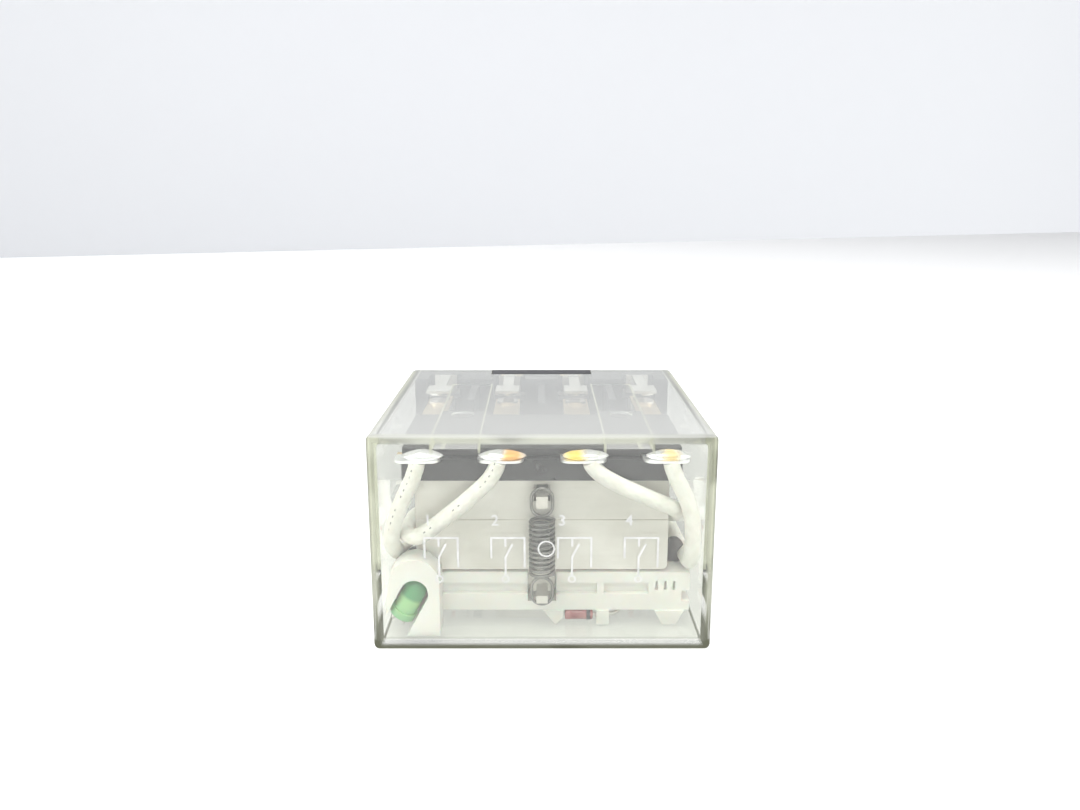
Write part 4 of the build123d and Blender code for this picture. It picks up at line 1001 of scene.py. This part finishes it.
for number, (x, z) in enumerate(LEAD_DROPS, start=1):
    drop(number, Vector((x, LEAD_DROP_Y, z)) * MM, LEAD_DROP_HALF, LEAD_DROP_RADIUS)
for number, side in ((5, -1), (6, 1)):
    drop(number, Vector((side * COIL_BLADE_X, COIL_DROP_Y, COIL_DROP_Z)) * MM, COIL_DROP_HALF,
         COIL_DROP_RADIUS)
print("six drops of solder on the lugs")

# %% [markdown]
# ## Painted shade by the leads
# Two of the leads lie against each other beside the armature. A dark drop between them is painted shade: it
# darkens the gap between the armature and the side wall. It is a ball, taller than wide, with a few slow
# lumps in it.

# %% Painted shade on the leads
SHADE_DROP_PLACE = Vector((17.25, -27.5, -4.3)) * MM
SHADE_DROP_RADII = Vector((1.3, 1.3, 1.9)) * MM
SHADE_DROP_RINGS, SHADE_DROP_SIDES = 18, 24


def adhesive_ring(tilt):
    """One level ring of the lumpy drop; the tilt runs from nought at its top to pi at its foot."""
    ring = []
    for turn in circle(SHADE_DROP_SIDES):
        lump = 1 + sin(tilt) * (0.05 * sin(3 * turn + 2 * tilt) + 0.04 * sin(2 * turn - 3 * tilt))
        ring.append(SHADE_DROP_PLACE + Vector((SHADE_DROP_RADII.x * sin(tilt) * cos(turn),
                                             SHADE_DROP_RADII.y * sin(tilt) * sin(turn),
                                             SHADE_DROP_RADII.z * cos(tilt))) * lump)
    return ring


shade_drop_rings = [adhesive_ring(pi * (0.03 + 0.94 * i / SHADE_DROP_RINGS)) for i in range(SHADE_DROP_RINGS + 1)]
# The dark colour of the drop is painted shade for the gap beside the armature.
painted_shade = start_material("dark_painted_shade", (0.035, 0.026, 0.020), 0.3)
tint(painted_shade, (0.025, 0.018, 0.014), (0.06, 0.045, 0.034), noise(painted_shade, 420.0, 3.0))
shade_drop = skin("lead_shade_drop", shade_drop_rings, painted_shade)
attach(shade_drop, "base")
print("one drop of adhesive on the right-hand leads")

# %% [markdown]
# ## Lamp
# The lamp is a green diffused LED. Its dome is painted deeper in colour than its body: painted shade for the
# shadow and dark reflection of the hood over it, while the body is painted paler where light falls on it. Its
# axis leans, so the colours are laid along a direction, not along a coordinate.

# %% Lamp
led_low, led_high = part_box("led")
LED_FOOT = Vector((-17.5 * MM, (led_low.y + led_high.y) / 2, -10.1 * MM))
LED_TILT = radians(28)
LED_ALONG = Vector((sin(LED_TILT), 0, cos(LED_TILT)))
LED_LENGTH = 5.1 * MM


def along_ramp(material, origin, direction, length, stops, interpolation="LINEAR"):
    """A colour ramp laid along a direction of the piece, from an origin; it drives the base colour."""
    reach = add(material, "ShaderNodeVectorMath")
    reach.operation = "DOT_PRODUCT"
    join(material, add(material, "ShaderNodeTexCoord"), "Object", reach, 0)
    reach.inputs[1].default_value = direction
    start = Vector(origin).dot(direction)
    spread = add(material, "ShaderNodeMapRange", From_Min=start, From_Max=start + length)
    join(material, reach, "Value", spread, "Value")
    ramp = add(material, "ShaderNodeValToRGB")
    ramp.color_ramp.interpolation = interpolation
    elements = ramp.color_ramp.elements
    while len(elements) < len(stops):
        elements.new(0.5)
    for element, (position, colour) in zip(elements, stops):
        element.position = position
        element.color = (*colour, 1)
    join(material, spread, "Result", ramp, "Fac")
    join(material, ramp, "Color", shader_of(material), "Base Color")


led_green = start_material("led_green", (0.25, 0.55, 0.27), 0.32, Transmission_Weight=0.25, IOR=1.5,
                           Subsurface_Weight=0.3, Subsurface_Scale=1 * MM, Coat_Weight=0.3)
# Painted light on the body and painted shade on the dome, laid along the lamp's axis.
along_ramp(led_green, LED_FOOT, LED_ALONG, LED_LENGTH,
           [(0.0, (0.26, 0.62, 0.30)), (0.2, (0.38, 0.72, 0.33)), (0.50, (0.43, 0.79, 0.35)),
            (0.60, (0.10, 0.42, 0.15)), (1.0, (0.09, 0.38, 0.14))])
bump(led_green, noise(led_green, 900.0, 2.0), 0.1, 0.03 * MM)
dress(led_green, "led")

# %% [markdown]
# ## Diode and resistor
# The diode is a bead of red glass with a dark band. The resistor has the usual bone shape with thick
# ends, and painted bands. Turned parts like these are rings about one axis, so a short outline of how
# far along and how thick says all of their shape.

# %% Turned parts
TURNED_SIDES = 36
SHOULDER_STEPS = 6


def turned(name, start, direction, outline, material):
    """A round part from (way along, radius) pairs, on an axis from start."""
    direction = Vector(direction)
    side = Vector((0, 0, 1))
    other = direction.cross(side)
    rings = [[start + direction * way + (side * cos(a) + other * sin(a)) * radius
              for a in circle(TURNED_SIDES)] for way, radius in outline]
    return skin(name, rings, material)


def bulged(length, middle, end, end_share, corner=0.22 * MM):
    """The outline of a turned body with thicker ends and rounded corners."""
    outline = [(0.0, 0.3 * end), (0.02 * MM, 0.75 * end), (0.35 * corner, 0.93 * end), (corner, end),
               (end_share * length * 0.7, end)]
    for i in range(SHOULDER_STEPS + 1):
        share = i / SHOULDER_STEPS
        slope = (1 - cos(pi * share)) / 2
        outline.append((end_share * length * (0.75 + 0.5 * share), end + (middle - end) * slope))
    return outline + [(length - way, radius) for way, radius in reversed(outline)]


# %% [markdown]
# Both fill the box that the solid model keeps for them: the diode lies along X, the resistor along Y.

# %% Diode
BAND_START, BAND_WIDTH, BAND_STEP = 2.75 * MM, 0.52 * MM, 0.02 * MM
diode_glass = start_material("diode_glass", (0.50, 0.13, 0.12), 0.08, Transmission_Weight=0.3, IOR=1.52,
                             Coat_Weight=0.5)
tint(diode_glass, (0.36, 0.08, 0.08), (0.66, 0.28, 0.26), noise(diode_glass, 600.0, 2.0))
low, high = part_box("diode")
start = Vector((low.x, (low.y + high.y) / 2, (low.z + high.z) / 2))
radius, diode_length = (high.z - low.z) / 2, high.x - low.x
bead_outline = bulged(diode_length, radius * 0.93, radius * 0.98, 0.2)
bead = turned("diode_bead", start, (1, 0, 0), bead_outline, diode_glass)
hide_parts("diode")
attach(bead, "base")
band_ink = start_material("band_ink", (0.06, 0.055, 0.06), 0.45)
tint(band_ink, (0.04, 0.04, 0.045), (0.09, 0.085, 0.09), noise(band_ink, 900.0, 2.0))
band_outline = [(0, radius * 0.9), (BAND_STEP, radius), (BAND_WIDTH - BAND_STEP, radius),
                (BAND_WIDTH, radius * 0.9)]
band = turned("diode_band", start + Vector((BAND_START, 0, 0)), (1, 0, 0), band_outline, band_ink)
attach(band, "base")
print("diode", round(diode_length / MM, 2), "mm")

# %% [markdown]
# The resistor's bands are painted, so they are a ramp with hard steps, laid along its axis.

# %% Resistor
TAN, BROWN, BLACK = (0.66, 0.52, 0.34), (0.16, 0.05, 0.02), (0.02, 0.02, 0.02)
GREY, GOLD = (0.2, 0.2, 0.2), (0.6, 0.4, 0.1)
low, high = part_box("resistor")
start = Vector(((low.x + high.x) / 2, low.y, (low.z + high.z) / 2))
radius, resistor_length = (high.z - low.z) / 2, high.y - low.y
resistor_paint = start_material("resistor_paint", TAN, 0.35, Coat_Weight=0.3)
along_ramp(resistor_paint, start, Vector((0, 1, 0)), resistor_length,
           [(0.0, TAN), (0.13, BROWN), (0.21, TAN), (0.34, GREY), (0.42, TAN), (0.50, BLACK),
            (0.58, TAN), (0.78, GOLD), (0.86, TAN)], "CONSTANT")
bump(resistor_paint, noise(resistor_paint, 1500.0, 2.0), 0.2, 0.03 * MM)
body_outline = bulged(resistor_length, radius * 0.82, radius, 0.26)
body = turned("resistor_body", start, (0, 1, 0), body_outline, resistor_paint)
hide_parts("resistor")
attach(body, "base")
print("resistor", round(resistor_length / MM, 2), "mm")

# %% [markdown]
# ## Print on the cover
# A relay of this kind carries its contact diagram in white ink on the face of the cover: a plain number
# for each pole, the common sign for a change-over contact below it, and a ring for the coil. The ink is a
# very thin closed layer that stands on the plastic, and it comes off with the cover. Strokes that cross
# lie a hair apart in depth, because two faces in the same plane would turn black where they meet.

# %% Strokes, rings and numbers of ink
INK_THICKNESS = 0.005 * MM
INK_STEP = 0.0007 * MM
INK_WIDTH, RING_WIDTH = 0.24 * MM, 0.2 * MM
RING_PARTS = 36
NUMBER_SIZE = 1.9 * MM
NUMBER_SWELL = 0.02 * MM
face_y = cover_low.y - 0.001 * MM


def ink_stroke(mesh, start, end, y):
    """A flat bar of ink between two (x, z) points in millimetres, with its back at y."""
    a, b = Vector((start[0], 0, start[1])) * MM, Vector((end[0], 0, end[1])) * MM
    ahead = (b - a).normalized() * INK_WIDTH / 2
    across = Vector((ahead.z, 0, -ahead.x))
    corners = [a - ahead + across, b + ahead + across, b + ahead - across, a - ahead - across]
    layers = [[mesh.verts.new((c.x, depth, c.z)) for c in corners] for depth in (y, y - INK_THICKNESS)]
    mesh.faces.new(layers[0])
    mesh.faces.new(layers[1][::-1])
    joined_loops(mesh, *layers)


def ink_ring(mesh, x, z, radius, y):
    """A flat closed ring of ink about a point in millimetres, with its back at y."""
    inner, outer = radius * MM - RING_WIDTH / 2, radius * MM + RING_WIDTH / 2
    front = y - INK_THICKNESS
    loops = [[mesh.verts.new((x * MM + reach * cos(a), depth, z * MM + reach * sin(a)))
              for a in circle(RING_PARTS)]
             for reach, depth in ((inner, y), (outer, y), (outer, front), (inner, front))]
    for before, after in zip(loops, loops[1:] + loops[:1]):
        joined_loops(mesh, before, after)


def ink_number(mesh, text, x, z):
    """A plain number of ink with its lower left corner at a point in millimetres."""
    data = bpy.data.curves.new("number", "FONT")
    data.body = text
    data.size = NUMBER_SIZE
    data.extrude = INK_THICKNESS / 2
    data.offset = NUMBER_SWELL
    host = bpy.data.objects.new("number", data)
    bpy.context.scene.collection.objects.link(host)
    flat = bpy.data.meshes.new_from_object(host.evaluated_get(bpy.context.evaluated_depsgraph_get()))
    place = Matrix.Translation((x * MM, face_y - INK_THICKNESS / 2, z * MM))
    flat.transform(place @ Matrix.Rotation(pi / 2, 4, "X"))
    mesh.from_mesh(flat)
    bpy.data.objects.remove(host)
    bpy.data.meshes.remove(flat)


# %% [markdown]
# The symbol is a list of strokes about the place of its pole: the bridge over the two fixed contacts,
# their two ends, the moving contact between them and the tail that leads to its ring.

# %% Contact diagram
PRINT_PITCH, PRINT_MIDDLE = 8.0, -1.5
NUMBER_X, NUMBER_Z = -0.6, 2.7
STROKES = ((-0.6, 1.1, 3.4, 1.1), (-0.6, 1.1, -0.6, -1.4), (1.1, 1.1, 1.1, 0.1), (1.1, -1.4, 1.9, 0.2),
           (1.1, -1.4, 1.1, -3.7), (3.4, 1.1, 3.4, -2.6))
TAIL_RING = (1.1, -4.2, 0.4)
COIL_RING = (0.5, -0.3, 0.95)
ring_y = face_y - len(STROKES) * INK_STEP
ink = bmesh.new()
for number in range(1, 5):
    x = PRINT_MIDDLE + (number - 2.5) * PRINT_PITCH
    ink_number(ink, str(number), x + NUMBER_X, NUMBER_Z)
    for layer, (start_x, start_z, end_x, end_z) in enumerate(STROKES):
        ink_stroke(ink, (x + start_x, start_z), (x + end_x, end_z), face_y - layer * INK_STEP)
    ink_ring(ink, x + TAIL_RING[0], TAIL_RING[1], TAIL_RING[2], ring_y)
ink_ring(ink, *COIL_RING, ring_y)
white_ink = start_material("white_ink", (0.74, 0.74, 0.72), 0.5)
tint(white_ink, (0.68, 0.68, 0.66), (0.78, 0.78, 0.76), noise(white_ink, 900.0, 2.0))
diagram = finished_piece("contact_diagram", ink, white_ink)
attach(diagram, "cover")
print("contact diagram", len(diagram.data.polygons), "faces")

# %% [markdown]
# ## The stage
# A plain white floor and a pale grey wall behind it, a little askew. The lamps are kept at a plain level,
# so the floor's own white is made up by a little glow that only the camera, reflections and clear plastic
# see; the relay's shadow still falls on it. The wall's glow fades towards its left-hand end.

# %% Surfaces that glow for the eye alone
WALL_LEFT = Vector((-461.0, 555.0, 0)) * MM
WALL_RIGHT = Vector((762.0, 1001.0, 0)) * MM
LEFT_GLOW = 0.165


def brightness_by_ray(tree, plain, seen):
    """One value for light on the object, another for what camera, gloss and clear plastic show."""
    path = tree.nodes.new("ShaderNodeLightPath")
    either = path.outputs["Is Camera Ray"]
    for ray in ("Is Glossy Ray", "Is Transmission Ray"):
        wider = tree.nodes.new("ShaderNodeMath")
        wider.operation = "MAXIMUM"
        tree.links.new(either, wider.inputs[0])
        tree.links.new(path.outputs[ray], wider.inputs[1])
        either = wider.outputs[0]
    spread = tree.nodes.new("ShaderNodeMapRange")
    spread.inputs["To Min"].default_value = plain
    spread.inputs["To Max"].default_value = seen
    tree.links.new(either, spread.inputs["Value"])
    return spread.outputs["Result"]


def side_fade(material):
    """A share that rises along X from one end of the wall to the other."""
    return fade(material, axes_of(material)[0], WALL_LEFT.x, WALL_RIGHT.x, LEFT_GLOW, 1.0)


def backdrop_material(name, colour, glow, shade=None):
    """A matt surface that glows a little for the camera, for reflections and through clear plastic."""
    material = start_material(name, colour, 0.9, Specular_IOR_Level=0.0)
    tree = material.node_tree
    lamp = add(material, "ShaderNodeEmission", Color=(*colour, 1))
    seen = brightness_by_ray(tree, 0.0, glow)
    if shade:
        seen = calc(material, "MULTIPLY", seen, shade(material))
    tree.links.new(seen, lamp.inputs["Strength"])
    both = add(material, "ShaderNodeAddShader")
    tree.links.new(shader_of(material).outputs[0], both.inputs[0])
    tree.links.new(lamp.outputs[0], both.inputs[1])
    tree.links.new(both.outputs[0], tree.nodes["Material Output"].inputs["Surface"])
    return material


floor_white = backdrop_material("floor_white", (0.86, 0.86, 0.86), 0.36)
wall_grey = backdrop_material("wall_grey", (0.74, 0.75, 0.77), 0.66, side_fade)

# %% [markdown]
# Both are single flat sheets, far wider and deeper than the camera sees, so that no edge of them shows.

# %% Floor and wall
FLOOR_LEVEL = cover_low.z
FLOOR_FRONT = -2700 * MM
WALL_HEIGHT = 1500 * MM
WALL_HALF = 3.0


def flat_sheet(name, corners, material):
    mesh = bpy.data.meshes.new(name)
    mesh.from_pydata([tuple(c) for c in corners], [], [tuple(range(len(corners)))])
    sheet = bpy.data.objects.new(name, mesh)
    mesh.materials.append(material)
    bpy.context.scene.collection.objects.link(sheet)


wall_middle = (WALL_LEFT + WALL_RIGHT) / 2 + Vector((0, 0, FLOOR_LEVEL))
wall_reach = (WALL_RIGHT - WALL_LEFT).normalized() * WALL_HALF
left, right = wall_middle - wall_reach, wall_middle + wall_reach
rise = Vector((0, 0, WALL_HEIGHT))
flat_sheet("floor", [(left.x, FLOOR_FRONT, FLOOR_LEVEL), (right.x, FLOOR_FRONT, FLOOR_LEVEL), right, left],
           floor_white)
flat_sheet("backdrop", [left, right, right + rise, left + rise], wall_grey)
print("floor at", round(FLOOR_LEVEL / MM, 2), "mm")

# %% [markdown]
# ## Light
# A white tent, near enough: one broad lamp above and a little in front, a weaker one on each side, and
# an even grey from the world. Broad lamps give the clear plastic long soft highlights and leave only a
# faint shadow around the foot of the relay.

# %% Lamps and world
WORLD_LIGHT, WORLD_SEEN = 0.42, 0.95


def area_lamp(name, place, size, watts):
    """A rectangular lamp that looks at the relay."""
    data = bpy.data.lights.new(name, "AREA")
    data.shape = "RECTANGLE"
    data.size, data.size_y = size
    data.energy = watts
    lamp = bpy.data.objects.new(name, data)
    lamp.location = place
    lamp.rotation_euler = (-Vector(place)).to_track_quat("-Z", "Y").to_euler()
    bpy.context.scene.collection.objects.link(lamp)


area_lamp("lamp_above", (-0.10, -0.15, 0.60), (0.70, 0.55), 5.2)
area_lamp("lamp_left", (-0.55, -0.25, 0.22), (0.35, 0.35), 0.9)
area_lamp("lamp_right", (0.55, -0.20, 0.28), (0.35, 0.35), 1.0)
world = bpy.data.worlds.new("studio")
world.use_nodes = True
sky = world.node_tree.nodes["Background"]
sky.inputs["Color"].default_value = (0.95, 0.97, 1.0, 1)
sky_seen = brightness_by_ray(world.node_tree, WORLD_LIGHT, WORLD_SEEN)
world.node_tree.links.new(sky_seen, sky.inputs["Strength"])
bpy.context.scene.world = world
bpy.context.scene.view_settings.view_transform = "Standard"
print("three lamps and a grey world")
